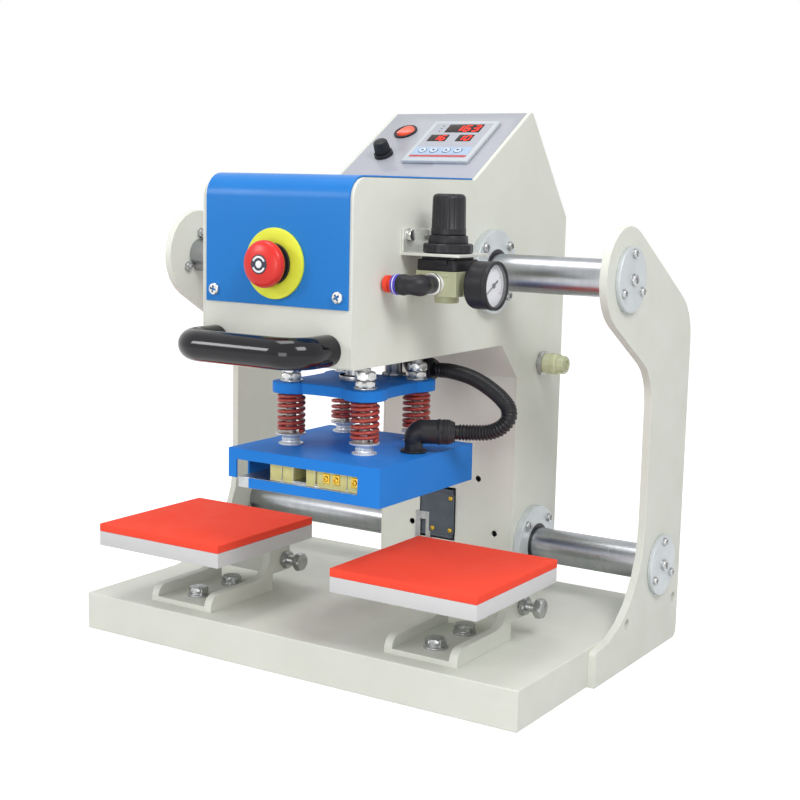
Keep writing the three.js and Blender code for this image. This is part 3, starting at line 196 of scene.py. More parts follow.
def polar_grid(radius: Array, height: Array, sides: int = 64, caps: bool = True) -> Surface:
    """Turns a profile about w: a point is (r cos t, r sin t, h), with r and h given per row or per point.

    Args:
        radius: the radii, shaped (rows,) or (rows, sides).
        height: the heights, of either shape.
        sides: how many points a turn has.
        caps: whether the first and last rows are closed.

    Returns:
        The turned surface.
    """
    turn = np.arange(sides) * TURN / sides
    radius, height = (
        np.broadcast_to(np.reshape(a, (len(a), -1)), (len(a), sides)) for a in (radius, height))
    rings = np.stack([radius * np.cos(turn), radius * np.sin(turn), height], -1)
    return loft(rings, caps)


def rounded(points: Sequence, radius: float, steps: int = 5, closed: bool = False) -> Array:
    """Rounds the corners of a line: each becomes a cubic curve between points that lie a radius away.

    Args:
        points: the line's corners, in two or three dimensions.
        radius: how far from a corner its curve starts, at most 0.49 of the shorter side.
        steps: how many spans a curve has.
        closed: whether the line returns to its start.

    Returns:
        The rounded line's points.
    """
    corner = np.asarray(points, float)
    before, after = np.roll(corner, 1, 0), np.roll(corner, -1, 0)
    back, ahead = before - corner, after - corner
    lengths = np.stack([np.linalg.norm(back, axis=1), np.linalg.norm(ahead, axis=1)])
    reach = np.minimum(radius, 0.49 * lengths.min(0))[:, None]
    start, end = corner + back / lengths[0][:, None] * reach, corner + ahead / lengths[1][:, None] * reach
    t = np.linspace(0, 1, steps + 1)[None, :, None]
    one, two = (start + CORNER_ARM * (corner - start))[:, None], (end + CORNER_ARM * (corner - end))[:, None]
    s = 1 - t
    curve = s**3 * start[:, None] + 3 * s**2 * t * one + 3 * s * t**2 * two + t**3 * end[:, None]
    if closed:
        return curve.reshape(-1, corner.shape[1])
    return np.concatenate([corner[:1], curve[1:-1].reshape(-1, corner.shape[1]), corner[-1:]])


def turned(profile: Sequence, edge: float = 0.4, sides: int = 64) -> Surface:
    """Turns (radius, height) corners about w, each rounded by the edge; corners off the axis make a ring.

    Args:
        profile: the corners, from the axis round to the axis, or round a ring's section.
        edge: the rounding of the corners.
        sides: how many points a turn has.

    Returns:
        The closed turned surface.
    """
    ring = profile[0][0] > 0
    line = rounded(profile, edge, 4, ring)
    if ring:
        line = np.concatenate([line, line[:1]])
    return polar_grid(line[:, 0], line[:, 1], sides, not ring)


def ring(inner: float, outer: float, low: float, high: float, edge: float, sides: int = 64) -> Surface:
    """Turns a plain ring between two radii and two heights, or a disc where the inner radius is 0."""
    return turned([(inner, low), (outer, low), (outer, high), (inner, high)], edge, sides)


def slab(outline: Array, low: float, high: float, edge: float = 0.5) -> Surface:
    """Raises a flat outline from low to high with rounded edges: each row is the outline, moved inwards.

    Args:
        outline: the outline's points, anticlockwise.
        low: where its underside lies along w.
        high: where its top lies along w.
        edge: the rounding's radius.

    Returns:
        The slab's surface.
    """
    after = np.roll(outline, -1, 0) - outline
    out = np.stack([after[:, 1], -after[:, 0]], 1) / np.maximum(np.linalg.norm(after, axis=1), 1e-9)[:, None]
    back = np.roll(out, 1, 0)
    mitre = (out + back) / np.maximum(1 + (out * back).sum(1), 0.3)[:, None]
    t = np.linspace(0, np.pi / 2, 4)
    inset = edge * np.concatenate([1 - np.sin(t), 1 - np.cos(t)])
    rise = np.concatenate([low + edge * (1 - np.cos(t)), high - edge * (1 - np.sin(t))])
    flat = outline[None] - inset[:, None, None] * mitre[None]
    heights = np.broadcast_to(rise[:, None, None], flat.shape[:2] + (1,))
    return loft(np.concatenate([flat, heights], 2))


def oblong(width: float, height: float, corner: float, u: float = 0, v: float = 0) -> Array:
    """Returns the outline of a rounded rectangle about (u, v), anticlockwise."""
    a, b = width / 2, height / 2
    return rounded([(-a, -b), (a, -b), (a, b), (-a, b)], corner, 6, True) + np.array([u, v])


def arc_band(near: float, far: float, first: float, last: float, steps: int) -> Array:
    """Returns the outline of a band between two radii and two angles in degrees, anticlockwise."""
    t = np.radians(np.linspace(first, last, steps))
    out = np.stack([np.cos(t), np.sin(t)], 1)
    return np.concatenate([far * out, near * out[::-1]])


def run_of(path: Array) -> Array:
    """Returns how long a line is up to each of its points."""
    return np.concatenate([[0], np.cumsum(np.linalg.norm(np.diff(path, axis=0), axis=1))])


def evenly(path: Array, count: int) -> tuple:
    """Returns as many points of a line at equal steps, and how long it is up to each."""
    run = run_of(path)
    even = np.linspace(0, run[-1], count)
    return np.stack([np.interp(even, run, path[:, i]) for i in range(3)], 1), even


def root_gap(first: Array, second: Array) -> Array:
    """Returns the square root of the distance between the points of two rows, as a column."""
    return np.sqrt(np.linalg.norm(second - first, axis=1))[:, None]


def squared(wave: Array, power: float) -> Array:
    """Returns a section's sine or cosine as its power bends it: 2 keeps it round, more makes it squarer."""
    return np.sign(wave) * np.abs(wave) ** (2 / power)


def tube(path: Array, across: Array, radius: Array, sides: int = 32, squareness: float = 2.0) -> Surface:
    """Carries a round section along a path: a point is path + r (across cos t + upward sin t).

    Args:
        path: the centreline's points.
        across: a direction that is nowhere along the path, one for all points or one for each.
        radius: the section's radius or (across, upward) radii, one for all points or one for each.
        sides: how many points the section has.
        squareness: the section's power, 2 for round and more for a squarer wire.

    Returns:
        The tube's surface, closed at both ends.
    """
    along = np.gradient(path, axis=0)
    along /= np.linalg.norm(along, axis=1, keepdims=True)
    side = np.broadcast_to(np.asarray(across, float), path.shape)
    side = side - (side * along).sum(1, keepdims=True) * along
    side /= np.linalg.norm(side, axis=1, keepdims=True)
    up = np.cross(along, side)
    t = np.arange(sides) * TURN / sides
    columns = 1 if np.ndim(radius) < 2 else 2
    size = np.broadcast_to(np.asarray(radius, float).reshape(-1, columns), (len(path), 2))
    cos, sin = (squared(wave, squareness)[None, :, None] for wave in (np.cos(t), np.sin(t)))
    rings = path[:, None] + size[:, :1, None] * cos * side[:, None] + size[:, 1:, None] * sin * up[:, None]
    return loft(rings)


class Recess(Enum):
    """How a screw head is driven."""

    CROSS = "cross"
    HEX = "hex"


def screw_head(radius: float, height: float, recess: Recess, sides: int = 48) -> Surface:
    """A button head: its height is a dome over the radius, less a recess where the drive's outline is inside.

    Args:
        radius: the head's radius.
        height: its height over its seat.
        recess: the drive.
        sides: how many points a turn has.

    Returns:
        The head on its place's face.
    """
    share = np.array([1, 1, 0.97, 0.9, 0.78, 0.66, 0.58, 0.54, 0.5, 0.4, 0.25, 0.12, 0.0])
    base = np.array([-0.1, 0.45, 0.66, 0.84, 0.95, 0.99, 1, 1, 1, 1, 1, 1, 1]) * height
    turn = np.arange(sides) * TURN / sides
    r = radius * share[:, None] + 0 * turn
    flat, arm, span, depth = 0.55 * radius, 0.13 * radius, 0.6 * radius, 0.55 * height
    if recess is Recess.HEX:
        inside = r < flat / np.cos((turn + np.pi / 6) % (np.pi / 3) - np.pi / 6) * 0.98
    else:
        reach = np.minimum(np.abs(r * np.cos(turn)), np.abs(r * np.sin(turn)))
        inside = (reach < arm) & (r < span)
    return polar_grid(r, base[:, None] - depth * inside, sides)


def hexagon(flats: float, low: float, high: float, chamfer: float = 1.0, sides: int = 72) -> Surface:
    """A chamfered hexagon: its radius is the lesser of the flat's distance and a cone at each end."""
    turn = np.arange(sides) * TURN / sides
    flat = flats / 2 / np.cos(turn % (np.pi / 3) - np.pi / 6)
    cone = flats / 2 * np.array([0, 0.93, 1.0, 1.155, 1.155, 1.0, 0.93, 0])
    rise = np.array([low, low, low + 0.15, low + chamfer, high - chamfer, high - 0.15, high, high])
    return polar_grid(np.minimum(flat[None], cone[:, None]), rise, sides)


def thread(radius: float, low: float, high: float, pitch: float = 1.6, sides: int = 24) -> Surface:
    """A threaded rod: its radius falls by a wave of the height over the pitch less the turn's share."""
    rows = int((high - low) / pitch * 6) + 2
    z = np.linspace(low, high, rows)[:, None]
    share = np.arange(sides)[None] / sides
    r = radius * (1 - 0.07 * (0.5 + 0.5 * np.cos(TURN * (z / pitch - share))))
    r[0] = r[-1] = 0.82 * radius
    return polar_grid(r, z + 0 * share, sides)


def gathered(surfaces: Iterable[Surface]) -> Surface:
    """Returns several surfaces as one, their faces renumbered by the points before them."""
    points, faces, count = [], [], 0
    for surface in surfaces:
        points.append(surface.points)
        faces += [[corner + count for corner in face] for face in surface.faces]
        count += len(surface.points)
    return Surface(np.concatenate(points), faces)


def placed(place: Place, *pairs: tuple) -> list:
    """Returns pairs of a surface and its finish, the surfaces carried from the place into the drawing."""
    return [(surface.moved(place), finish) for surface, finish in pairs]


def in_frame(points: Array) -> Array:
    """Returns points of the drawing in metres of the shared frame."""
    return (np.asarray(points, float) + DRAWING_TO_FRAME) * METRES_PER_MM


# Finishes: what each surface is made of and how it was made


def linear(code: str) -> tuple:
    """Returns an sRGB hex colour as linear red, green, blue and alpha."""
    part = np.array([int(code[i:i + 2], 16) / 255 for i in (1, 3, 5)])
    value = np.where(part <= 0.04045, part / 12.92, ((part + 0.055) / 1.055) ** 2.4)
    return (*value.tolist(), 1.0)


def empty_tree(owner: bpy.types.ID) -> bpy.types.NodeTree:
    """Returns the node tree of a material or a world, without its first nodes."""
    owner.use_nodes = True
    owner.node_tree.nodes.clear()
    return owner.node_tree


def add_node(
    tree: bpy.types.NodeTree, kind: str, inputs: Optional[dict] = None, **settings: object
) -> bpy.types.Node:
    """Adds a node with its settings and links.

    Args:
        tree: the material's tree.
        kind: the node's type name.
        inputs: a value or another node's output for each input named.
        settings: the node's own settings.

    Returns:
        The new node.
    """
    node = tree.nodes.new(kind)
    for key, value in settings.items():
        setattr(node, key, value)
    for key, value in (inputs or {}).items():
        if isinstance(value, bpy.types.NodeSocket):
            tree.links.new(value, node.inputs[key])
        else:
            node.inputs[key].default_value = value
    return node


class Make(Enum):
    """How a surface was made, which decides what its light breaks on."""

    COATED = "powder coated"
    GROUND = "ground"
    PLATED = "plated"
    MOULDED = "moulded"
    RUBBER = "rubber"
    FILM = "printed film"
    CLEAR = "clear"
    LIT = "lit"


@dataclass(frozen=True)
class Finish:
    """A finish: colours in sRGB, gloss, and the real sizes of its clouds and grain in millimetres."""

    name: str
    make: Make
    colour: str
    shade: str
    roughness: float
    cloud_mm: float = 30
    grain_mm: float = 1
    grain: float = 0.1
    metallic: float = 0
    coat: float = 0
    specular: float = 0.5
    alpha: float = 1
    transmission: float = 0
    glow: float = 0
    spread: float = 0.05
    stretch: tuple = (1, 1, 1)
    slot: Optional[str] = None

    def material(self) -> bpy.types.Material:
        """Builds the material once: clouds of two near colours, a roughness that follows them, and a grain.

        Returns:
            The material of this finish.
        """
        if self.name in bpy.data.materials:
            return bpy.data.materials[self.name]
        material = bpy.data.materials.new(self.name)
        tree = empty_tree(material)
        place = add_node(tree, "ShaderNodeTexCoord").outputs["Object"]
        mapping = add_node(tree, "ShaderNodeMapping", {"Vector": place, "Scale": self.stretch})
        drawn = mapping.outputs["Vector"]
        clouds = add_node(tree, "ShaderNodeTexNoise", {
            "Vector": drawn, "Scale": 1000 / self.cloud_mm, "Detail": 7, "Roughness": 0.62})
        blend = add_node(tree, "ShaderNodeMapRange", {
            "Value": clouds.outputs["Fac"], "From Min": 0.32, "From Max": 0.68})
        colour = add_node(tree, "ShaderNodeMix", {
            0: blend.outputs["Result"], 6: linear(self.colour), 7: linear(self.shade)}, data_type="RGBA")
        swing = 3 * self.spread * self.roughness
        gloss = add_node(tree, "ShaderNodeMapRange", {
            "Value": clouds.outputs["Fac"], "From Min": 0.3, "From Max": 0.7,
            "To Min": self.roughness - swing, "To Max": self.roughness + swing})
        grain = self.grain_height(tree, drawn)
        bump = add_node(tree, "ShaderNodeBump", {
            "Height": grain, "Strength": self.grain, "Distance": METRES_PER_MM * min(self.grain_mm, 1) * 0.3})
        shader = add_node(tree, "ShaderNodeBsdfPrincipled", {
            "Base Color": colour.outputs[2], "Roughness": gloss.outputs["Result"],
            "Normal": bump.outputs["Normal"], "Metallic": self.metallic, "Coat Weight": self.coat,
            "Coat Roughness": 0.06, "Specular IOR Level": self.specular, "Alpha": self.alpha,
            "Transmission Weight": self.transmission})
        if self.glow:
            tree.links.new(colour.outputs[2], shader.inputs["Emission Color"])
            shader.inputs["Emission Strength"].default_value = self.glow
        add_node(tree, "ShaderNodeOutputMaterial", {"Surface": shader.outputs["BSDF"]})
        return material

    def grain_height(self, tree: bpy.types.NodeTree, drawn: bpy.types.NodeSocket) -> bpy.types.NodeSocket:
        """Adds the grain: cells for a coat's orange peel and for rubber, noise for the rest.

        Args:
            tree: the material's tree.
            drawn: the coordinates, stretched along the surface's working direction.

        Returns:
            The output that holds the grain's height.
        """
        scale = 1000 / self.grain_mm
        if self.make in (Make.COATED, Make.RUBBER):
            cells = {"Vector": drawn, "Scale": scale}
            return add_node(tree, "ShaderNodeTexVoronoi", cells, feature="SMOOTH_F1").outputs["Distance"]
        return add_node(tree, "ShaderNodeTexNoise", {
            "Vector": drawn, "Scale": scale, "Detail": 3, "Roughness": 0.55}).outputs["Fac"]


# Powder coat, sprayed dry and baked: a soft even sheen with fine orange peel
IVORY = Finish("ivory_powder_coat", Make.COATED, "#E0E2D9", "#DCDED4", 0.45, 40, 1.8, 0.16, specular=0.4,
               slot="ivory_paint")
BLUE = Finish("blue_powder_coat", Make.COATED, "#267BCA", "#2377C5", 0.3, 70, 1.6, 0.05, specular=0.18,
              slot="blue_paint")
# The front cover's blue paint, made lighter: painted light on the spider and the heater cover, which sit in
# the head's shade. It is also rougher and less glossy.
BLUE_WITH_PAINTED_LIGHT = Finish("blue_coat_with_painted_light", Make.COATED, "#2B84DE", "#2880DA", 0.5, 70, 1.6, 0.05, specular=0.1,
                    slot="blue_paint")
GREY = Finish("grey_satin_enamel", Make.COATED, "#CFD5D7", "#C5CCCF", 0.38, 20, 1.2, 0.08, 0.3, specular=0.4,
              slot="grey_paint")
# Bar steel, centreless ground and hard chromed: fine rings round the bar, so highlights smear along it
SHAFT = Finish("ground_chromed_bar", Make.GROUND, "#B0B2B5", "#A1A4A8", 0.3, 40, 0.5, 0.03, 1.0,
               spread=0.04, stretch=(5, 0.5, 0.5), slot="shaft_steel")
# Zinc, barrel plated: satin, faintly clouded, with tumbling marks
ZINC = Finish("zinc_plated_steel", Make.PLATED, "#C4C5C4", "#A6A8AA", 0.34, 5, 0.8, 0.08, 1.0, spread=0.1,
              slot="zinc_steel")
NICKEL = Finish("nickel_plated_steel", Make.PLATED, "#DADAD6", "#C8C9C9", 0.33, 6, 0.9, 0.03, 1.0,
                slot="zinc_steel")
COLLAR = Finish("bright_zinc_collar", Make.PLATED, "#E8E9E9", "#D6D8DA", 0.3, 5, 0.8, 0.04, 0.5,
                slot="zinc_steel")
# Zinc sheet, folded and passivated: nearly matt, pale, with a rolled grain
SHEET = Finish("passivated_zinc_sheet", Make.PLATED, "#DEDFD9", "#D0D2CC", 0.44, 9, 0.8, 0.06, 0.6,
               spread=0.06, stretch=(1, 1, 3), slot="zinc_steel")
# Cast aluminium, machined flat: pale, with the cutter's drawn marks
ALUMINIUM = Finish("machined_aluminium", Make.GROUND, "#C6C8C9", "#AEB1B4", 0.36, 12, 0.7, 0.12, 1.0,
                   stretch=(1, 7, 1), slot="plate_aluminium")
WHITE_PLATE = Finish("white_coated_plate", Make.COATED, "#D5D5D5", "#D0D0D2", 0.42, 60, 1.2, 0.06,
                     specular=0.4, slot="white_plate")
# Silicone sponge, pressed between cloths: matt, with a fine woven print
PAD = Finish("silicone_sponge", Make.RUBBER, "#FF5541", "#FF533F", 0.7, 40, 1.3, 0.2, specular=0.06,
             slot="red_silicone")
# PVC dipped grip: deep black under a clear gloss skin, with faint runs
GRIP = Finish("dipped_vinyl_grip", Make.MOULDED, "#17171C", "#111116", 0.11, 25, 12, 0.1, specular=0.35,
              slot="gloss_black")
# ABS and nylon, injection moulded in a spark-eroded mould: satin with a fine grain
BLACK = Finish("black_moulded_nylon", Make.MOULDED, "#27272B", "#202024", 0.42, 12, 0.5, 0.14, specular=0.28,
               slot="black_plastic")
HOSE = Finish("ribbed_nylon_conduit", Make.MOULDED, "#1E1E21", "#17171A", 0.34, 10, 0.8, 0.1, specular=0.3,
              slot="black_plastic")
RED = Finish("red_moulded_plastic", Make.MOULDED, "#E0332C", "#D82D28", 0.3, 20, 3, 0.04, specular=0.35,
             slot="red_plastic")
YELLOW = Finish("yellow_plate_enamel", Make.MOULDED, "#E6EE4C", "#DFE746", 0.42, 20, 1, 0.04, specular=0.25,
                slot="yellow_plastic")
KHAKI = Finish("painted_die_casting", Make.COATED, "#B8BB9A", "#AEB190", 0.42, 12, 1.4, 0.16, specular=0.4,
               slot="khaki_paint")
# Die springs are lacquered over blasted wire: dull red with darker, thinner edges
SPRING = Finish("lacquered_spring_wire", Make.COATED, "#B84435", "#9B3429", 0.28, 4, 0.9, 0.16,
                slot="spring_paint")
# Polyester film, printed on its back: even, satin, with a slight violet cast
FILM = Finish("printed_polyester_film", Make.FILM, "#AAACB4", "#A6A8B1", 0.34, 60, 2, 0.04, specular=0.35,
              slot="panel_film")
CASE = Finish("pale_moulded_case", Make.MOULDED, "#BCC1C5", "#B6BCC1", 0.36, 20, 0.7, 0.06, specular=0.4,
              slot="panel_film")
BAND = Finish("blue_printed_band", Make.FILM, "#A6B9CE", "#A0B4CA", 0.34, 30, 2, 0.03, specular=0.3,
              slot="key_film")
STRIPE = Finish("red_printed_stripe", Make.FILM, "#BE343A", "#B42E34", 0.34, 20, 2, 0.03, specular=0.3,
                slot="red_plastic")
WINDOW = Finish("smoked_display_window", Make.FILM, "#2A1A1B", "#241617", 0.2, 10, 2, 0.02, specular=0.2,
                slot="panel_film")
DIGIT = Finish("lit_display_bar", Make.LIT, "#FF2A1E", "#FF3A28", 0.4, 5, 2, 0.02, glow=1.0, specular=0.1,
               slot="panel_film")
INK = Finish("dark_printed_ink", Make.FILM, "#3A3F4C", "#343945", 0.4, 20, 2, 0.03, specular=0.3,
             slot="panel_film")
RIM = Finish("grey_blue_printed_rim", Make.FILM, "#60789A", "#597193", 0.4, 20, 2, 0.03, specular=0.3,
             slot="key_film")
KEY = Finish("pale_rubber_key", Make.RUBBER, "#C6D2DF", "#C0CCDA", 0.5, 20, 1, 0.04, specular=0.3,
             slot="key_film")
WHITE = Finish("white_printed_card", Make.FILM, "#F0F0F4", "#EAEAF1", 0.4, 20, 2, 0.03, specular=0.3,
               slot="panel_film")
LENS = Finish("red_lamp_lens", Make.CLEAR, "#E8442C", "#F4603E", 0.18, 6, 2, 0.04, coat=0.3, glow=0.3,
              slot="red_plastic")
# Nylon and polycarbonate, clear moulded: light passes and bends a little
BOWL = Finish("clear_moulded_bowl", Make.CLEAR, "#EDF1CE", "#E4E9C0", 0.22, 8, 2, 0.05, transmission=0.45,
              slot="clear_yellow")
GLASS = Finish("clear_gauge_glass", Make.CLEAR, "#FFFFFF", "#FAFCFF", 0.04, 20, 9, 0.01, alpha=0.1,
               slot="panel_film")
VIOLET = Finish("violet_moulded_ring", Make.MOULDED, "#5A4FC8", "#5248BC", 0.35, 8, 1, 0.06, specular=0.3,
                slot="black_plastic")
PLUG = Finish("red_moulded_plug", Make.MOULDED, "#EE4A32", "#E2412B", 0.36, 8, 1, 0.06, specular=0.3,
              slot="red_plastic")
# Brass, turned, and the ceramic blocks that hold it
BRASS = Finish("turned_brass", Make.GROUND, "#E8C456", "#D6AE40", 0.32, 4, 0.5, 0.08, 1.0,
               slot="plate_aluminium")
CERAMIC = Finish("glazed_terminal_block", Make.MOULDED, "#E9E19A", "#DDD489", 0.3, 6, 1, 0.08, specular=0.4,
                 slot="plate_aluminium")
SWITCH = Finish("slate_switch_case", Make.COATED, "#5A626A", "#525A63", 0.45, 10, 1, 0.12, specular=0.3,
                slot="black_plastic")


# Pieces


def rides_on(node: str) -> str:
    """Returns the name of the body that a CAD node rides on."""
    return frame["nodes"][node]["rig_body"]


def add_object(data: bpy.types.ID) -> bpy.types.Object:
    """Adds an object to the scene, at the origin and under its data's name."""
    added = bpy.data.objects.new(data.name, data)
    bpy.context.scene.collection.objects.link(added)
    return added


def aimed(data: bpy.types.ID, at: Sequence[float], axes: Sequence[Array]) -> bpy.types.Object:
    """Adds a camera or a lamp at a point, its axes to the right, up and back being the given ones."""
    matrix = np.eye(4)
    matrix[:3, :3] = np.stack(axes, 1)
    matrix[:3, 3] = at
    added = add_object(data)
    added.matrix_world = Matrix(matrix.tolist())
    return added


def finish_off(
    piece: bpy.types.Object, body: str, replaced: Sequence[str],
    blended: Optional[tuple] = None,
) -> bpy.types.Object:
    """Smooths a piece, ties it to the body that it rides on unless it is blended, and hides the nodes that it
    stands for.

    Args:
        piece: the piece.
        body: the body that it rides on, unless it is blended.
        replaced: the CAD nodes that it stands for.
        blended: the two bodies and two points of a soft piece, if any; such a piece is only baked in place
            and follows neither body.

    Returns:
        The same piece.
    """
    piece.data.shade_smooth()
    if blended:
        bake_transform(piece)
    else:
        piece.data.set_sharp_from_angle(angle=np.radians(SHARP_FROM))
        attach(piece, body)
    if replaced:
        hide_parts(*replaced)
    LOG.info("%s: %d faces on %s", piece.name, len(piece.data.polygons), body)
    return piece


def make_piece(
    name: str, parts: Sequence[tuple], body: str, replaced: Sequence[str] = (),
    blended: Optional[tuple] = None,
) -> bpy.types.Object:
    """Makes one piece of several surfaces, each with its own finish.

    Args:
        name: the piece's name.
        parts: pairs of a surface in drawing millimetres and its finish.
        body: the CAD body that it rides on.
        replaced: the CAD nodes that it stands for.
        blended: the two bodies and two points of a soft piece, if any; such a piece is only baked in place
            and follows neither body.

    Returns:
        The new object.
    """
    whole = gathered(surface for surface, _ in parts)
    finishes = list(dict.fromkeys(finish for _, finish in parts))
    mesh = bpy.data.meshes.new(name)
    mesh.from_pydata(in_frame(whole.points).tolist(), [], whole.faces)
    index = np.concatenate([np.full(len(surface.faces), finishes.index(finish)) for surface, finish in parts])
    mesh.polygons.foreach_set("material_index", index.astype(np.int32))
    for finish in finishes:
        mesh.materials.append(finish.material())
    work = bmesh.new()
    work.from_mesh(mesh)
    bmesh.ops.remove_doubles(work, verts=work.verts, dist=WELD)
    bmesh.ops.recalc_face_normals(work, faces=work.faces)
    work.to_mesh(mesh)
    work.free()
    return finish_off(add_object(mesh), body, replaced, blended)


def stand_for(node: str, name: str, parts: Sequence[tuple]) -> None:
    """Makes a piece that rides on a CAD node's body and stands for the node."""
    make_piece(name, parts, rides_on(node), [node])


def sit_on(node: str, name: str, parts: Sequence[tuple]) -> None:
    """Makes a piece that rides on a CAD node's body beside it."""
    make_piece(name, parts, rides_on(node))


def refine(node: str, finish: Finish, edge: float = 0.6, regions: Sequence[tuple] = ()) -> bpy.types.Object:
    """Makes a dressed copy of a CAD solid: its triangles are merged into flats, and its edges rounded.

    Args:
        node: the CAD node that the copy stands for.
        finish: its finish.
        edge: the rounding of its edges in millimetres.
        regions: pairs of a box's (low, high) corners in drawing millimetres and the finish of faces inside.

    Returns:
        The dressed copy.
    """
    mesh = frame["nodes"][node].data.copy()
    mesh.materials.clear()
    mesh.materials.append(finish.material())
    work = bmesh.new()
    work.from_mesh(mesh)
    bmesh.ops.remove_doubles(work, verts=work.verts, dist=WELD)
    bmesh.ops.dissolve_limit(work, angle_limit=np.radians(1), verts=work.verts, edges=work.edges)
    bmesh.ops.recalc_face_normals(work, faces=work.faces)
    for face in work.faces:
        face.material_index = 0
        middle = np.array(face.calc_center_median()) / METRES_PER_MM - DRAWING_TO_FRAME
        for number, ((low, high), _) in enumerate(regions, 1):
            if np.all(middle > low) and np.all(middle < high):
                face.material_index = number
    for _, other in regions:
        mesh.materials.append(other.material())
    work.to_mesh(mesh)
    work.free()
    mesh.name = f"dressed_{node}"
    piece = add_object(mesh)
    bevel = piece.modifiers.new("rounded edges", "BEVEL")
    bevel.width = edge * METRES_PER_MM
    bevel.segments = 3
    bevel.limit_method = "ANGLE"
    bevel.angle_limit = np.radians(40)
    bevel.harden_normals = True
    bevel.use_clamp_overlap = True
    return finish_off(piece, rides_on(node), [node])


@dataclass
class Studio:
    """The camera of the photograph, a plain pale floor, and soft lamps; metres, and angles in degrees."""

    camera_at: tuple = (0.7732, -1.14515, 0.4534)
    azimuth: float = 32.10
    fall: float = 8.61
    roll: float = -1.28
    lens_mm: float = 64.65
    sensor_mm: float = 36.0
    shift: tuple = (-0.0066, 0.0022)
    floor_half: float = 6.0
    floor_z: float = -0.0005
    floor_tone: float = 0.55
    floor_glow: float = 0.8
    surround: tuple = (0.56, 1.0)
    lamps: tuple = (
        ("above", (-0.2, -0.2, 1.7), (0.0, 0.0, 0.2), 0.6, 6.5),
        ("right", (1.1, -0.6, 1.35), (0.0, 0.0, 0.3), 0.6, 12.0),
        ("left", (-1.3, -1.7, 1.1), (0.0, 0.0, 0.3), 0.5, 10.0),
        ("front", (0.5, -2.2, 0.4), (0.0, 0.0, 0.22), 0.8, 9.5),
    )

    def place_camera(self) -> None:
        """Sets the camera where the photograph was taken: its axes are right, up and back."""
        a, e, r = np.radians([self.azimuth, self.fall, self.roll])
        ahead = np.array([-np.sin(a) * np.cos(e), np.cos(a) * np.cos(e), -np.sin(e)])
        right = np.array([np.cos(a), np.sin(a), 0.0])
        down = np.cross(ahead, right)
        right, down = np.cos(r) * right + np.sin(r) * down, np.cos(r) * down - np.sin(r) * right
        data = bpy.data.cameras.new("photograph")
        data.lens, data.sensor_width, data.sensor_fit = self.lens_mm, self.sensor_mm, "HORIZONTAL"
        data.shift_x, data.shift_y = self.shift
        bpy.context.scene.camera = aimed(data, self.camera_at, (right, -down, -ahead))

    def lay_floor(self) -> None:
        """Lays a pale floor that looks white to the camera and keeps the object's shadow."""
        h, z = self.floor_half, self.floor_z
        mesh = bpy.data.meshes.new("floor")
        mesh.from_pydata([(-h, -h, z), (h, -h, z), (h, h, z), (-h, h, z)], [], [(0, 1, 2, 3)])
        material = bpy.data.materials.new("pale_floor")
        tree = empty_tree(material)
        tone = (self.floor_tone,) * 3 + (1,)
        matt = add_node(tree, "ShaderNodeBsdfDiffuse", {"Color": tone}).outputs["BSDF"]
        glow = add_node(tree, "ShaderNodeEmission", {"Color": (1, 1, 1, 1), "Strength": self.floor_glow})
        lit = add_node(tree, "ShaderNodeAddShader", {0: matt, 1: glow.outputs["Emission"]}).outputs["Shader"]
        mixed = add_node(tree, "ShaderNodeMixShader", {0: self.seen_rays(tree), 1: matt, 2: lit})
        add_node(tree, "ShaderNodeOutputMaterial", {"Surface": mixed.outputs["Shader"]})
        mesh.materials.append(material)
        add_object(mesh)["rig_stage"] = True

    def seen_rays(self, tree: bpy.types.NodeTree) -> bpy.types.NodeSocket:
        """Returns an output that is 1 for rays that show the background, also mirrored or through glass."""
        path = add_node(tree, "ShaderNodeLightPath").outputs
        either = add_node(tree, "ShaderNodeMath", {0: path["Is Camera Ray"], 1: path["Is Glossy Ray"]},
                          operation="MAXIMUM").outputs[0]
        return add_node(tree, "ShaderNodeMath", {0: either, 1: path["Is Transmission Ray"]},
                        operation="MAXIMUM").outputs[0]

    def light(self) -> None:
        """Lights the object: a pale surround, and small lamps above, right, left and in front."""
        world = bpy.data.worlds.new("surround")
        tree = empty_tree(world)
        low, high = self.surround
        seen = self.seen_rays(tree)
        level = add_node(tree, "ShaderNodeMapRange", {"Value": seen, "To Min": low, "To Max": high})
        level = level.outputs["Result"]
        sky = add_node(tree, "ShaderNodeBackground", {"Color": (1, 1, 1, 1), "Strength": level})
        add_node(tree, "ShaderNodeOutputWorld", {"Surface": sky.outputs["Background"]})
        bpy.context.scene.world = world
        for name, at, aim, size, watts in self.lamps:
            data = bpy.data.lights.new(name, "AREA")
            data.size, data.energy = size, watts
            back = np.array(at) - np.array(aim)
            back /= np.linalg.norm(back)
            right = np.cross([0, 0, 1.0], back)
            right /= np.linalg.norm(right)
            aimed(data, at, (right, np.cross(back, right), back))

    def build(self) -> None:
        """Sets the view transform, the camera, the floor and the lamps."""
        bpy.context.scene.view_settings.view_transform = "Standard"
        self.place_camera()
        self.lay_floor()
        self.light()


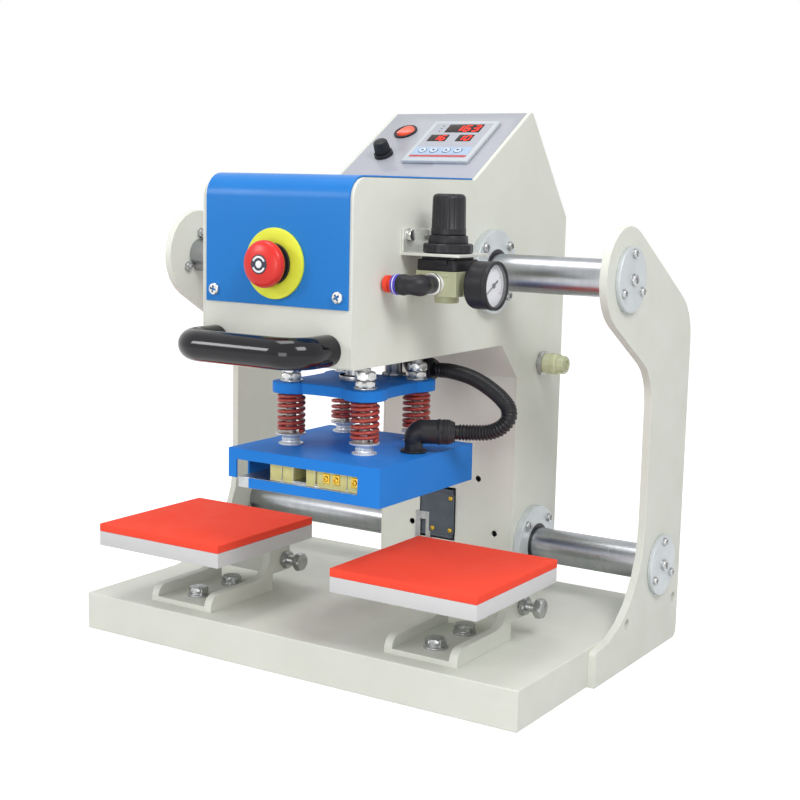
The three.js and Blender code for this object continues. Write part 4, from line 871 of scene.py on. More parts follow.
@dataclass(frozen=True)
class ConduitElbow:
    """A moulded elbow of the conduit: a flanged foot, a bend, a bead and a ribbed collar; millimetres."""

    end: str
    corner: tuple
    foot: float
    leg: float
    turn: float
    radii: tuple
    bend: float = 8.5
    flange: tuple = (12, 2.5)
    swell: tuple = (8, 14)
    bead: tuple = (0.9, 3, 1.6)
    collar: float = 11.5
    collar_length: float = 11
    rib: float = 0.25
    rib_pitch: float = 2.2
    taper: float = 2.4

    def way(self) -> Array:
        """Returns the direction in which the leg points."""
        return np.array([np.cos(np.radians(self.turn)), np.sin(np.radians(self.turn)), 0])

    def build(self) -> None:
        """Makes the elbow: its radius swells along the bend to a bead, a collar's ribs and a taper."""
        x, y, z = self.corner
        mid, way = np.array(self.corner, float), self.way()
        path, run = evenly(rounded([(x, y, self.foot), mid, mid + self.leg * way], self.bend, 10), 140)
        past = run - (run[-1] - self.collar_length)
        (near, far), (begin, over), (height, before, width) = self.radii, self.swell, self.bead
        radius = near + (far - near) * np.clip((run - begin) / over, 0, 1)
        ribs = self.rib * np.cos(TURN * past / self.rib_pitch)
        ribs = ribs - self.taper * np.clip(past / self.collar_length * 2 - 1, 0, 1)
        bead = height * np.exp(-((past + before) / width) ** 2)
        radius = radius + bead + (self.collar - far + ribs) * (past > 0)
        seat = Place((x, y, self.foot), (1, 0, 0), (0, float(np.sign(z - self.foot)), 0))
        disc = ring(0, self.flange[0], 0, self.flange[1], 0.7)
        stand_for(f"hose_{self.end}_elbow", f"{self.end}_conduit_elbow",
                  [(tube(path, np.cross(way, [0, 0, 1.0]), radius, 48), BLACK), (disc.moved(seat), BLACK)])


@dataclass
class Conduit:
    """The ribbed hose from the heater cover up into the head, with its two elbows; millimetres."""

    crest: float = 7.3
    root: float = 6.2
    pitch: float = 3.0
    plain_end: float = 0.4
    seat: float = 0.3
    lower: ConduitElbow = ConduitElbow("lower", (98, 65, 232), 213, 37, 32, (8.3, 11))
    upper: ConduitElbow = ConduitElbow("upper", (42, 148, 278), 300, 27, 0, (8.3, 9.5))
    route: tuple = (
        (158, 99.5, 233.4), (168, 102.5, 238.8), (172.7, 106, 246.6), (169.5, 111, 254.5),
        (159, 117, 261.8), (144.4, 124, 268), (128.9, 131, 272.8), (111, 138.5, 276.3),
    )

    def centreline(self) -> Array:
        """Works out the hose's line: a centripetal Catmull-Rom curve, each span a cubic of its end slopes."""
        straight = 2 * self.crest
        reach = np.array([self.seat, self.seat + straight / 2, self.seat + straight])[:, None]
        start, end = (np.array(elbow.corner) + (elbow.leg + steps) * elbow.way()
                      for elbow, steps in ((self.lower, reach), (self.upper, reach[::-1])))
        knots = np.concatenate([start, np.array(self.route, float), end])
        full = np.concatenate([2 * knots[:1] - knots[1:2], knots, 2 * knots[-1:] - knots[-2:-1]])
        a, b, c, d = full[:-3], full[1:-2], full[2:-1], full[3:]
        ab, bc, cd = root_gap(a, b), root_gap(b, c), root_gap(c, d)
        m1 = ((b - a) / ab - (c - a) / (ab + bc) + (c - b) / bc) * bc
        m2 = ((c - b) / bc - (d - b) / (bc + cd) + (d - c) / cd) * bc
        t = np.linspace(0, 1, 60, endpoint=False)[:, None, None]
        curve = b + m1 * t + (-3 * b + 3 * c - 2 * m1 - m2) * t**2 + (2 * b - 2 * c + m1 + m2) * t**3
        dense = np.concatenate([curve.transpose(1, 0, 2).reshape(-1, 3), knots[-1:]])
        return evenly(dense, int(run_of(dense)[-1] / self.pitch * 8))[0]

    def hose(self) -> None:
        """Makes the hose: a tube whose radius rises to a flat crest once a pitch, plain at its ends."""
        path = self.centreline()
        along = run_of(path)
        wave = np.clip(1.5 * (0.5 - 0.5 * np.cos(TURN * along / self.pitch)), 0, 1)
        end = self.plain_end * self.crest
        plain = (along < end) | (along > along[-1] - end)
        radius = self.root + (self.crest - self.root) * np.where(plain, 0.35, wave)
        low, high = (tuple(in_frame(elbow.corner)) for elbow in (self.lower, self.upper))
        piece = make_piece("ribbed_conduit", [(tube(path, (0, 1, 0), radius, 32), HOSE)], "carriage",
                           ["conduit_hose"], ("carriage", "press", (low[0], low[1], high[2]), low))

    def build(self) -> None:
        """Makes the hose and its two elbows."""
        self.hose()
        self.lower.build()
        self.upper.build()


@dataclass
class Frame:
    """Base tray, side plates, guide shafts and their end caps; millimetres."""

    half_width: float = 246.5
    plate: float = 7.5
    shaft: float = 17.5
    cap: float = 30
    cap_thickness: float = 4.6
    screw_circle: float = 23.5

    def end_cap(self, name: str, seat: Place) -> None:
        """Makes a cap: a bevelled disc with three button screws on a circle and one in its middle."""
        parts = placed(seat, (ring(0, self.cap, 0, self.cap_thickness, 0.9, 96), GREY))
        top = seat.shifted(w=self.cap_thickness)
        for turn in (90, 210, 330):
            a = np.radians(turn)
            spot = top.shifted(self.screw_circle * np.cos(a), self.screw_circle * np.sin(a)).spun(turn)
            parts += placed(spot, (ring(2.6, 4.9, 0, 0.5, 0.2, 40), ZINC))
            parts += placed(spot, (screw_head(4.1, 2.9, Recess.HEX), ZINC))
            parts += placed(spot.shifted(w=-self.cap_thickness - self.plate),
                            (hexagon(9.6, -4.6, 0.1, 0.7), ZINC), (thread(2.8, -7, 0), ZINC))
        parts += placed(top.spun(12), (screw_head(5.6, 3.7, Recess.HEX), ZINC))
        stand_for(f"{name}_end_cap", f"{name}_cap_and_screws", parts)

    def build(self) -> None:
        """Makes the frame's pieces."""
        refine("base_tray", IVORY, 1.3)
        for side in ("left", "right"):
            refine(f"{side}_side_plate", IVORY, 0.7)
        outside = self.half_width + self.plate
        for name, y, z in SHAFTS:
            bar = ring(0, self.shaft, 0, 2 * self.half_width, 0.5, 96)
            stand_for(f"{name}_shaft", f"{name}_ground_bar",
                      placed(Facing.RIGHT.at(-self.half_width, y, z), (bar, SHAFT)))
            self.end_cap(f"{name}_left", Facing.LEFT.at(-outside, y, z))
            self.end_cap(f"{name}_right", Facing.RIGHT.at(outside, y, z))


@dataclass
class Station:
    """One lower station: bracket, clamp bolt, white plate and silicone pad; millimetres."""

    side: str
    x: float
    y: float = 58.7
    size: float = 150
    plate_z: float = 94.6
    pad_z: float = 108.8
    pad: float = 7.6
    bolt_y: float = 137
    bolt_z: float = 66
    bracket_half: float = 38
    floor_z: float = 42
    clamp_top: float = 52
    base_bolts: tuple = ((45, 17), (97, 40))

    def bolts(self) -> None:
        """Makes the two bolts that hold the bracket to the tray, each with its washers."""
        parts = []
        for y, turn in self.base_bolts:
            parts += placed(Place((self.x, y, self.floor_z)).spun(turn), (ring(5, 11.2, 0.1, 2.1, 0.5), ZINC),
                            (ring(5, 9, 2.1, 3.6, 0.4), ZINC), (hexagon(17.2, 3.6, 9.2, 1.2), ZINC))
        sit_on(f"{self.side}_bracket", f"{self.side}_base_bolts", parts)

    def build(self) -> None:
        """Makes the station's pieces."""
        x, side, top = self.x, self.side, self.pad_z + self.pad
        zinc = [(((x - 14, y - 14, self.floor_z + 0.1), (x + 14, y + 14, self.clamp_top)), ZINC)
                for y, _ in self.base_bolts]
        refine(f"{side}_bracket", IVORY, 0.9, zinc)
        self.bolts()
        flat = oblong(self.size, self.size, 0.9, x, self.y)
        stand_for(f"{side}_lower_plate", f"{side}_white_plate",
                  [(slab(flat, self.plate_z, self.pad_z, 0.5), WHITE_PLATE)])
        stand_for(f"{side}_silicone_pad", f"{side}_sponge_pad", [(slab(flat, self.pad_z, top, 0.7), PAD)])
        out = self.bracket_half
        stand_for(f"{side}_clamp_bolt", f"{side}_bolt_and_nut", placed(
            Facing.RIGHT.at(x, self.bolt_y, self.bolt_z), (thread(5, -out - 3, out + 16.5), ZINC),
            (hexagon(17, out + 0.3, out + 6.3, 1.2), ZINC), (hexagon(17, out + 15.7, out + 23, 1.4), ZINC)))


@dataclass
class CarriageShell:
    """Cheeks, folded sheets, front cover, bearings, handle, switch and silencer; millimetres."""

    right: float = 111
    front: float = -57
    cover_face: float = -58.8
    cover_screws: tuple = ((-32.2, 360), (98.2, 360))
    handle_z: float = 315
    handle_mid: float = 27.6
    handle_pitch: float = 119.5
    handle_reach: float = 43
    handle_radius: float = 13.5
    handle_bend: float = 25
    bore: float = 17.9
    barrel: float = 26
    barrel_length: float = 127
    flange: float = 40
    flange_thickness: float = 8
    flange_circle: float = 33.5
    silencer_at: tuple = (289, 275)
    rear: float = 335
    rear_screw_x: tuple = (-35, 99)
    rear_screw_z: tuple = (60, 236, 408)
    inlet: tuple = ((20, 335.2, 130), (44, 360, 170))
    switch_front: tuple = (24, 235.7, 0)
    switch_bracket: tuple = ((-4, 230, 55), (17, 236.95, 120))
    switch_screws: tuple = ((-5, 98), (16, 98), (16, 132))

    def bearing(self, name: str, y: float, z: float) -> None:
        """Makes a bearing: a long body, a flange with four socket screws, and a wiper round the bore."""
        axis = Facing.RIGHT.at(self.right, y, z)
        bore, long, thick = self.bore, self.barrel_length, self.flange_thickness
        body = turned([(bore, -long), (self.barrel, -long), (self.barrel, 0), (self.flange, 0),
                       (self.flange, thick), (bore, thick)], 0.8, 96)
        parts = placed(axis, (body, GREY), (ring(bore, 21.5, 7.4, 8.5, 0.3), BLACK))
        for turn in (45, 135, 225, 315):
            a = np.radians(turn)
            spot = axis.shifted(self.flange_circle * np.sin(a), self.flange_circle * np.cos(a), thick)
            parts += placed(spot.spun(turn * 1.7), (screw_head(4.6, 3.1, Recess.HEX), ZINC))
        stand_for(f"{name}_bearing", f"{name}_flanged_bearing", parts)

    def handle(self) -> None:
        """Makes the grip: a round bar carried round a U whose corners are quarter turns."""
        a, y = self.handle_pitch / 2, self.front - self.handle_reach
        corners = [(self.handle_mid + s * a, d, self.handle_z) for s, d in
                   ((-1, self.front), (-1, y), (1, y), (1, self.front))]
        path = rounded(corners, self.handle_bend, 24)
        stand_for("handle", "dipped_grip", [(tube(path, (0, 0, 1), self.handle_radius, 48), GRIP)])

    def silencer(self) -> None:
        """Makes the silencer: a hexagon foot and a clear ribbed bowl with a domed end."""
        turn = np.arange(48) * TURN / 48
        z = np.array([5.2, 5.3, 6.2, 12, 12.6, 13.2, 21, 22.2, 27.2, 28.8, 29.4, 27.6, 27.6])
        r = np.array([0, 9.8, 10.6, 10.6, 10.2, 10.6, 10.6, 9.5, 9.3, 8.2, 4.8, 4.4, 0])[:, None]
        r = r + 0.15 * np.cos(12 * turn)
        r[0] = r[-1] = 0
        axis = Facing.RIGHT.at(self.right, *self.silencer_at)
        foot, bowl = hexagon(23, 0, 5.6, 1.2), polar_grid(r, z, 48)
        stand_for("silencer", "clear_silencer", placed(axis, (foot, ZINC), (bowl, BOWL)))

    def covers(self) -> None:
        """Makes the cheeks, the head's sheet and the two covers with their screws."""
        for sheet in ("left_cheek", "right_cheek", "head_wrap"):
            refine(sheet, IVORY, 0.5)
        refine("rear_cover", IVORY, 0.5, [(self.inlet, BLACK)])
        sit_on("rear_cover", "rear_cover_screws", [
            (screw_head(4.2, 2.6, Recess.CROSS).moved(Facing.REAR.at(x, self.rear, z).spun(x + z)), ZINC)
            for x in self.rear_screw_x for z in self.rear_screw_z])
        refine("front_cover", BLUE, 0.4)
        spots = [Facing.FRONT.at(x, self.cover_face, z).spun(20 + x) for x, z in self.cover_screws]
        sit_on("front_cover", "cover_screws",
               [(screw_head(5.2, 3.2, Recess.CROSS).moved(spot), NICKEL) for spot in spots])

    def switch(self) -> None:
        """Makes the limit switch with its bracket, its lid and three screws."""
        refine("limit_switch", SWITCH, 0.5, [(self.switch_bracket, ZINC)])
        face = Facing.FRONT.at(*self.switch_front)
        lid = slab(oblong(30, 44, 3, 5, 115), 0, 1.2, 0.5).moved(face)
        screws = [(screw_head(2.4, 1.4, Recess.CROSS).moved(face.shifted(u, v, 1.2)), BRASS)
                  for u, v in self.switch_screws]
        sit_on("limit_switch", "switch_lid", [(lid, SWITCH), *screws])

    def build(self) -> None:
        """Makes the carriage's pieces."""
        self.covers()
        for name, y, z in SHAFTS:
            self.bearing(name, y, z)
        self.handle()
        self.silencer()
        self.switch()
        refine("air_cylinder", ALUMINIUM, 0.6)
        refine("piston_rod", SHAFT, 0.6)


@dataclass
class EmergencyStop:
    """Yellow disc, black collar and red mushroom button; millimetres."""

    x: float = 33.7
    z: float = 385
    face: float = -58.8
    disc: float = 30
    collar: float = 15
    button: float = 20
    label: tuple = (23.3, 23.56, 0.08)
    arrow_starts: tuple = (25, 205)
    arrow_sweep: float = 130

    def build(self) -> None:
        """Makes the base and the button."""
        axis = Facing.FRONT.at(self.x, self.face, self.z)
        neck = turned([(14.5, 2.5), (17.5, 2.5), (17.2, 4.6), (14.5, 4.9)], 0.5)
        block = turned([(0, -34), (14, -34), (14, -0.5), (9.6, -0.5), (9.6, -7), (0, -7)], 0.6, 48)
        stand_for("estop_base", "stop_disc_and_collar", placed(
            axis, (ring(14, self.disc, 0, 3, 0.6, 96), YELLOW), (ring(9.5, self.collar, 0, 10, 1), BLACK),
            (neck, BLACK), (block, BLACK)))
        r = self.button
        cap = turned([(0, 16.2), (14.6, 16.2), (15.5, 15.8), (15.5, 11.3), (0.88 * r, 11.2), (r, 13.4),
                      (r, 17.6), (0.9 * r, 20.6), (0.62 * r, 22.5), (0.3 * r, 23.1), (0, 23.2)], 3, 96)
        label = turned([(0, 22.6), (8.2, 22.3), (8.2, 23.2), (7.6, 23.42), (0, 23.45)], 0.2)
        arrows = [(slab(arc_band(5.3, 7.0, start, start + self.arrow_sweep, 20), *self.label), WHITE)
                  for start in self.arrow_starts]
        t = np.linspace(0, TURN, 48, endpoint=False)
        dot = slab(np.stack([3.1 * np.cos(t), 3.1 * np.sin(t)], 1), *self.label)
        stand_for("estop_button", "mushroom_button", placed(
            axis, (cap, RED), (ring(0, 8.8, 0, 16.8, 0.3, 48), BLACK), (label, INK), *arrows, (dot, WHITE)))


# The seven bars of a digit: the middle in half widths and half heights, and whether the bar lies flat
BARS = {"a": (0, 1, True), "b": (1, 0.5, False), "c": (1, -0.5, False), "d": (0, -1, True),
        "e": (-1, -0.5, False), "f": (-1, 0.5, False), "g": (0, 0, True)}


@dataclass
class ControlPanel:
    """The sloped panel with its film, controller, keys, rocker and fuse holder; millimetres on the slope."""

    foot_y: float = 141.4
    foot_z: float = 458.3
    slope: float = 32
    middle_x: float = 32
    half_width: float = 76
    length: float = 126
    controller: tuple = (15, 27.5, 74, 76)
    rocker: tuple = (-13, 87.6)
    fuse: tuple = (-14, 43)
    recess_halves: tuple = (13, 10.5)
    key_shares: tuple = (0.21, 0.38, 0.57, 0.745)
    key_row: float = 18.5
    lens: float = 9.3
    displays: tuple = (
        ((36.5, 75.5, 80.6, 96), ("bc", "acdefg", "abcdg")),
        ((25, 46, 63.6, 76), ("bc", "acdefg")),
        ((57, 74, 63.6, 76), ("bc", "abcdef")),
    )
    digit_share: float = 0.74
    digit_z: float = 4.4
    digit_lean: float = 0.12

    def at(self, x: float, s: float, w: float = 0) -> Place:
        """Returns a place on the panel: x across, s up the slope, w out of it."""
        a = np.radians(self.slope)
        slope, out = np.array([0, np.cos(a), np.sin(a)]), np.array([0, -np.sin(a), np.cos(a)])
        origin = np.array([x, self.foot_y, self.foot_z]) + s * slope + w * out
        return Place(tuple(origin), (1, 0, 0), tuple(slope))

    def patch(self, edges: Sequence[float], low: float, high: float, corner: float = 0.6) -> Surface:
        """Makes a thin rounded plate on the slope.

        Args:
            edges: its left, right, lower and upper edges.
            low: where its underside lies over the slope.
            high: where its top lies over the slope.
            corner: the rounding of its outline.

        Returns:
            The plate in the drawing.
        """
        x0, x1, s0, s1 = edges
        flat = oblong(x1 - x0, s1 - s0, corner, (x0 + x1) / 2, (s0 + s1) / 2)
        return slab(flat, low, high, min(0.4 * (high - low), 1.0)).moved(self.at(0, 0))

    def digit(self, x: float, s: float, height: float, lit: str) -> list:
        """Makes a digit of seven bars, leaning to the right.

        Args:
            x: where its middle lies across the panel.
            s: where its middle lies up the slope.
            height: its height.
            lit: the lit bars, named a to g as on such displays.

        Returns:
            Pairs of a lit bar and its finish.
        """
        half, bar, parts = 0.27 * height, 0.085 * height, []
        for name in lit:
            u, v, flat = BARS[name]
            a, b = (half - 0.6 * bar, bar) if flat else (bar, height / 4 - 0.6 * bar)
            points = rounded([(-a, -b), (a, -b), (a, b), (-a, b)], bar * 0.8, 3, True)
            points = points + np.array([u * half, v * height / 2 * 0.92])
            points[:, 0] += self.digit_lean * points[:, 1] + x
            points[:, 1] += s
            parts.append((slab(points, self.digit_z, self.digit_z + 0.06, 0.02).moved(self.at(0, 0)), DIGIT))
        return parts

    def display(self, edges: Sequence[float], digits: Sequence[str]) -> list:
        """Returns a dark window with its lit digits, set to the right as in the photograph."""
        _, x1, s0, s1 = edges
        parts = [(self.patch(edges, 4.2, 4.42, 0.5), WINDOW)]
        height = self.digit_share * (s1 - s0)
        for index, lit in enumerate(digits):
            x = x1 - (len(digits) - index - 0.5) * height * 0.86 - 1.2
            parts += self.digit(x, (s0 + s1) / 2, height, lit)
        return parts

    def controls(self) -> None:
        """Makes the controller: case, face, three displays, lamps, key band and stripe."""
        x0, s0, width, height = self.controller
        x1, s1 = x0 + width, s0 + height
        parts = [(self.patch((x0, x1, s0, s1), 0.3, 4.0, 2), CASE),
                 (self.patch((x0 + 5, x1 - 5, s0 + 6, s1 - 5), 3.8, 4.2, 1), FILM)]
        for edges, digits in self.displays:
            parts += self.display(edges, digits)
        lamp = ring(0, 0.9, 4.1, 4.35, 0.05, 20)
        parts += [(lamp.moved(self.at(30, s)), INK) for s in (83, 88, 93)]
        parts += [(self.patch((x0 + 5.3, x1 - 5.3, 38.6, 53), 4.05, 4.26, 0.5), BAND),
                  (self.patch((x0 + 5.3, x1 - 5.3, 34.4, 37.4), 4.05, 4.28, 0.4), STRIPE)]
        body = slab(oblong(67, 67, 2, x0 + width / 2, s0 + height / 2), -48, 0.4, 1).moved(self.at(0, 0))
        spots = [self.at(x0 + share * width, s0 + self.key_row) for share in self.key_shares]
        rim = ring(3.95, 4.6, 4.1, 4.45, 0.1, 40)
        parts += [(body, BLACK), *((rim.moved(spot), RIM) for spot in spots)]
        stand_for("temperature_controller", "controller_face", parts)
        for index, spot in enumerate(spots, 1):
            self.key(index, spot)

    def key(self, index: int, spot: Place) -> None:
        """Makes a key: a low dome with a mark that points up on the first and third, else down."""
        dome = turned([(0, 2.4), (3.8, 2.4), (3.8, 4.95), (2.8, 5.1), (0, 5.14)], 0.12, 40)
        up = 1 if index in (1, 3) else -1
        mark = rounded([(-2.1, -1.4 * up), (2.1, -1.4 * up), (0, 1.9 * up)][::up], 0.2, 2, True)
        stand_for(f"key_{index}", f"key_{index}_cap",
                  placed(spot, (dome, KEY), (slab(mark, 5.06, 5.2, 0.03), INK)))

    def rocker_switch(self) -> None:
        """Makes the rocker's red lens: its top rises with the square of the distance from its middle line."""
        turn = np.arange(64) * TURN / 64
        share = np.linspace(0, 1, 14)[:, None]
        r = np.concatenate([np.zeros((1, 64)), np.full((1, 64), 9.0), self.lens * share[::-1] + 0 * turn])
        top = 2.4 + 0.022 * (r * np.sin(turn)) ** 2 - 0.8 * (r / self.lens) ** 8
        height = np.where(np.arange(len(r))[:, None] < 2, -1.0, top)
        stand_for("rocker_button", "rocker_lens",
                  placed(self.at(*self.rocker).tilted(-8), (polar_grid(r, height, 64), LENS)))

    def fuse_holder(self) -> None:
        """Makes the fuse cap: a tapered knob whose radius has sixteen grip ribs, and a driver's slot."""
        spot = self.at(*self.fuse)
        turn = np.arange(96) * TURN / 96
        z = np.array([4.3, 4.3, 4.8, 9, 13.6, 15.2, 16.2, 16.3])
        r = np.array([0, 7.6, 7.9, 7.5, 7.0, 6.8, 5.6, 0])[:, None]
        ribs = np.array([0, 1, 1, 1, 1, 0.3, 0, 0])[:, None] * 0.28 * np.cos(16 * turn)[None]
        slot = slab(oblong(9.5, 1.3, 0.3), 16.1, 16.42, 0.05).moved(spot.spun(35))
        stand_for("fuse_cap", "fuse_knob", placed(spot, (polar_grid(np.maximum(r + ribs, 0), z, 96), BLACK))
                  + [(slot, GRIP)])

    def sheet(self) -> None:
        """Makes the panel, the film round the controller, the rocker's bezel and the fuse's base."""
        boxes = []
        for spot, half in zip((self.rocker, self.fuse), self.recess_halves):
            middle = np.array(self.at(*spot, 2).origin)
            boxes.append(((tuple(middle - half), tuple(middle + half)), BLACK))
        refine("control_panel", IVORY, 0.4, boxes)
        left, right = self.middle_x - self.half_width + 1, self.middle_x + self.half_width - 1
        top = self.length - 1
        x0, s0, width, height = self.controller
        x1, s1, middle, slit = x0 + width, s0 + height, x0 + width / 2, 0.01
        film = np.array([(middle + slit, 1), (right, 1), (right, top), (left, top), (left, 1),
                         (middle - slit, 1), (middle - slit, s0 + 1), (x0 + 1, s0 + 1), (x0 + 1, s1 - 1),
                         (x1 - 1, s1 - 1), (x1 - 1, s0 + 1), (middle + slit, s0 + 1)])
        base = turned([(6, 0.3), (9.7, 0.3), (9.3, 3.4), (8.4, 4.1), (6, 4.1)], 0.3, 72)
        sit_on("control_panel", "panel_film", [
            (slab(film, 0.02, 0.32, 0.002).moved(self.at(0, 0)), FILM),
            (ring(9.75, 12.1, 0.3, 2.1, 0.5, 72).moved(self.at(*self.rocker)), BLACK),
            (base.moved(self.at(*self.fuse)), BLACK)])

    def build(self) -> None:
        """Makes the panel's pieces."""
        self.sheet()
        self.controls()
        self.rocker_switch()
        self.fuse_holder()


@dataclass
class Regulator:
    """The air regulator with its bracket, gauge, needle and elbow fitting; millimetres."""

    x: float = 143
    y: float = 41
    bottom: float = 359.5
    top: float = 381
    half: float = 20
    shelf_z: float = 393.3
    knob_z: float = 411.3
    gauge_x: float = 170
    gauge_z: float = 370
    gauge_radius: float = 21
    gauge_depth: float = 22
    zero: float = 210
    sweep: float = 240
    spaces: int = 20
    cheek: float = 111
    bracket_sheet: float = 2.4
    bolt_offset: float = 17.35
    elbow_reach: float = 30
    elbow_leg: float = 17

    def body(self) -> None:
        """Makes the bracket with its bolts and the body with its raised pads."""
        refine("regulator_bracket", SHEET, 0.5)
        bolts = []
        for side in (-1, 1):
            spot = Facing.RIGHT.at(self.cheek + self.bracket_sheet, self.y + side * self.bolt_offset,
                                self.shelf_z + 17)
            bolts += placed(spot, (ring(3, 6, 0, 1, 0.3, 40), NICKEL))
            bolts += placed(spot.spun(15 * side), (hexagon(9.6, 1, 4.9, 0.8), NICKEL))
        sit_on("regulator_bracket", "bracket_bolts", bolts)
        refine("regulator_body", KHAKI, 1.4)
        pads = placed(Facing.FRONT.at(self.x, self.y - self.half, self.top),
                      (slab(oblong(26, 3, 1.2, 0, -3), 0, 0.7, 0.3), KHAKI))
        pads += placed(Facing.RIGHT.at(self.x + self.half, self.y, self.bottom + 8),
                       (slab(oblong(15, 16, 2), 0, 1.0, 0.4), KHAKI))
        sit_on("regulator_body", "body_pads", pads)

    def bonnet(self) -> None:
        """Makes the bonnet: a square foot, a neck and a ring nut whose radius has twelve flutes."""
        turn = np.arange(144) * TURN / 144
        square = slab(oblong(40, 40, 4), self.top, self.top + 9.5, 0.8)
        roof = slab(oblong(35, 35, 5), self.top + 9, self.top + 12, 0.9)
        latch = slab(oblong(13, 4.4, 1, 5, self.top + 7.6), 0, 1.8, 0.5)
        latch = latch.moved(Facing.FRONT.at(0, -self.half, 0))
        nut_z = np.array([396, 396, 396.8, 403, 404, 404])
        nut_r = np.array([14, 20.3, 21.2, 21.2, 20, 14])[:, None]
        wave = np.clip(1.6 * np.cos(12 * turn), -1, 1)[None]
        flutes = np.array([0, 0.3, 1, 1, 0.3, 0])[:, None] * 0.3 * wave
        collar = turned([(0, 403), (17, 403), (17.3, 406), (16.6, 411), (0, 411)], 0.6)
        neck, nut = ring(0, 15, 385, 404, 0.3), polar_grid(nut_r + flutes, nut_z, 144)
        shapes = (square, roof, neck, nut, collar, latch)
        stand_for("regulator_bonnet", "bonnet_and_ring_nut",
                  placed(Place((self.x, self.y, 0)), *((shape, BLACK) for shape in shapes)))

    def knob(self) -> None:
        """Makes the knob: its radius falls in eighteen grooves, and in one more that marks its turn."""
        turn = np.arange(144) * TURN / 144
        z = self.knob_z + np.array([0, 0, 0.6, 5.0, 5.6, 6.0, 30.5, 32.8, 34.3, 34.9, 34.9])
        r = np.array([0, 14.6, 15.1, 15.1, 15.0, 14.7, 14.2, 13.8, 12.3, 10.4, 0])[:, None]
        grip = np.array([0, 0, 0, 0, 0, 1, 1, 0.7, 0.1, 0, 0])[:, None]
        mark = np.abs((turn + 1.9) % TURN - np.pi) < 0.05
        ribs = -0.42 * grip * (np.cos(18 * turn)[None] > 0.72) - 0.5 * grip * mark
        stand_for("regulator_knob", "ribbed_knob",
                  placed(Place((self.x, self.y, 0)), (polar_grid(np.maximum(r + ribs, 0), z, 144), BLACK)))

    def scale(self, low: float, high: float) -> list:
        """Returns the card's ticks, each fifth one longer and wider, and the arc round them."""
        parts = []
        for index in range(self.spaces + 1):
            a = np.radians(self.zero - self.sweep * index / self.spaces)
            long, half = (2.6, 0.22) if index % 5 == 0 else (1.4, 0.13)
            across, out = np.array([-np.sin(a), np.cos(a)]), np.array([np.cos(a), np.sin(a)])
            outer, inner = 14.6 * out, (14.6 - long) * out
            tick = np.array([inner - half * across, outer - half * across, outer + half * across,
                             inner + half * across])
            parts.append((slab(tick, low, high, 0.02), INK))
        arc = arc_band(15.0, 15.35, self.zero - self.sweep, self.zero, 60)
        return parts + [(slab(arc, low, high, 0.02), INK)]

    def gauge(self) -> None:
        """Makes the gauge: a rolled case, a card with a scale, a glass, and a needle that rests at zero."""
        R, d = self.gauge_radius, self.gauge_depth
        case = turned([(0, 0), (R - 1.5, 0), (R - 0.6, 2), (R - 0.6, d - 5), (R, d - 4.4), (R, d),
                       (R - 2.8, d), (R - 2.8, d - 4), (0, d - 4)], 0.7, 96)
        card = ring(0, R - 2.9, d - 4.1, d - 3.8, 0.05, 96)
        glass = turned([(0, d - 1.6), (R - 2.85, d - 1.6), (R - 2.85, d - 0.9), (0, d - 0.6)], 0.15, 96)
        stand_for("pressure_gauge", "gauge_case_and_card", placed(
            Facing.RIGHT.at(self.gauge_x, self.y, self.gauge_z), (case, BLACK), (card, WHITE), (glass, GLASS),
            (hexagon(14, -7, 0.3, 0.8), ZINC), *self.scale(d - 3.85, d - 3.7)))
        along = Facing.RIGHT.at(self.gauge_x + d - 3.5, self.y, self.gauge_z).spun(self.zero)
        blade = rounded([(-8, -0.9), (-2, -0.7), (14, -0.12), (14, 0.12), (-2, 0.7), (-8, 0.9)], 0.1, 2, True)
        hub = turned([(0, -0.2), (2.2, -0.2), (2.2, 0.9), (0, 1.1)], 0.3, 32)
        stand_for("gauge_needle", "gauge_pointer", placed(along, (slab(blade, 0, 0.5, 0.1), INK), (hub, INK)))

    def elbow(self) -> None:
        """Makes the push-in elbow: a white collar, a black bend, a violet ring and a red plug."""
        port, z = self.y - self.half, self.gauge_z
        tip = (self.x - self.elbow_leg, port - self.elbow_reach, z)
        path = rounded([(self.x, port - 0.2, z), (self.x, port - self.elbow_reach, z), tip], 9, 10)
        path = np.concatenate([np.linspace(path[0], path[1], 16)[:-1], path[1:-1],
                               np.linspace(path[-2], path[-1], 12)[1:]])
        run = run_of(path)
        swell = 7.7 + 1.5 * np.exp(-((run - 24) / 6.5) ** 2) + 1.3 * np.exp(-((run - run[-1] + 4) / 4.2) ** 2)
        cuff = turned([(5, -0.2), (8.8, -0.2), (8.8, 4.2), (8.2, 5), (5, 5)], 0.5)
        plug = turned([(0, 4), (5.2, 4), (5.2, 8.6), (7.4, 9.2), (7.4, 13), (6.4, 13.5), (0, 13.5)], 0.4)
        parts = [(tube(path, (0, 0, 1), swell, 40), BLACK)]
        parts += placed(Facing.FRONT.at(self.x, port, z), (ring(6, 8.7, 0, 5, 0.5), WHITE),
                        (ring(6, 9.7, 5, 8.4, 0.8), NICKEL))
        parts += placed(Facing.LEFT.at(*tip), (cuff, VIOLET), (ring(5, 8.95, 1.8, 2.6, 0.1), WHITE),
                        (plug, PLUG))
        stand_for("elbow_fitting", "push_in_elbow", parts)

    def build(self) -> None:
        """Makes the regulator's pieces."""
        self.body()
        self.bonnet()
        self.knob()
        self.gauge()
        self.elbow()


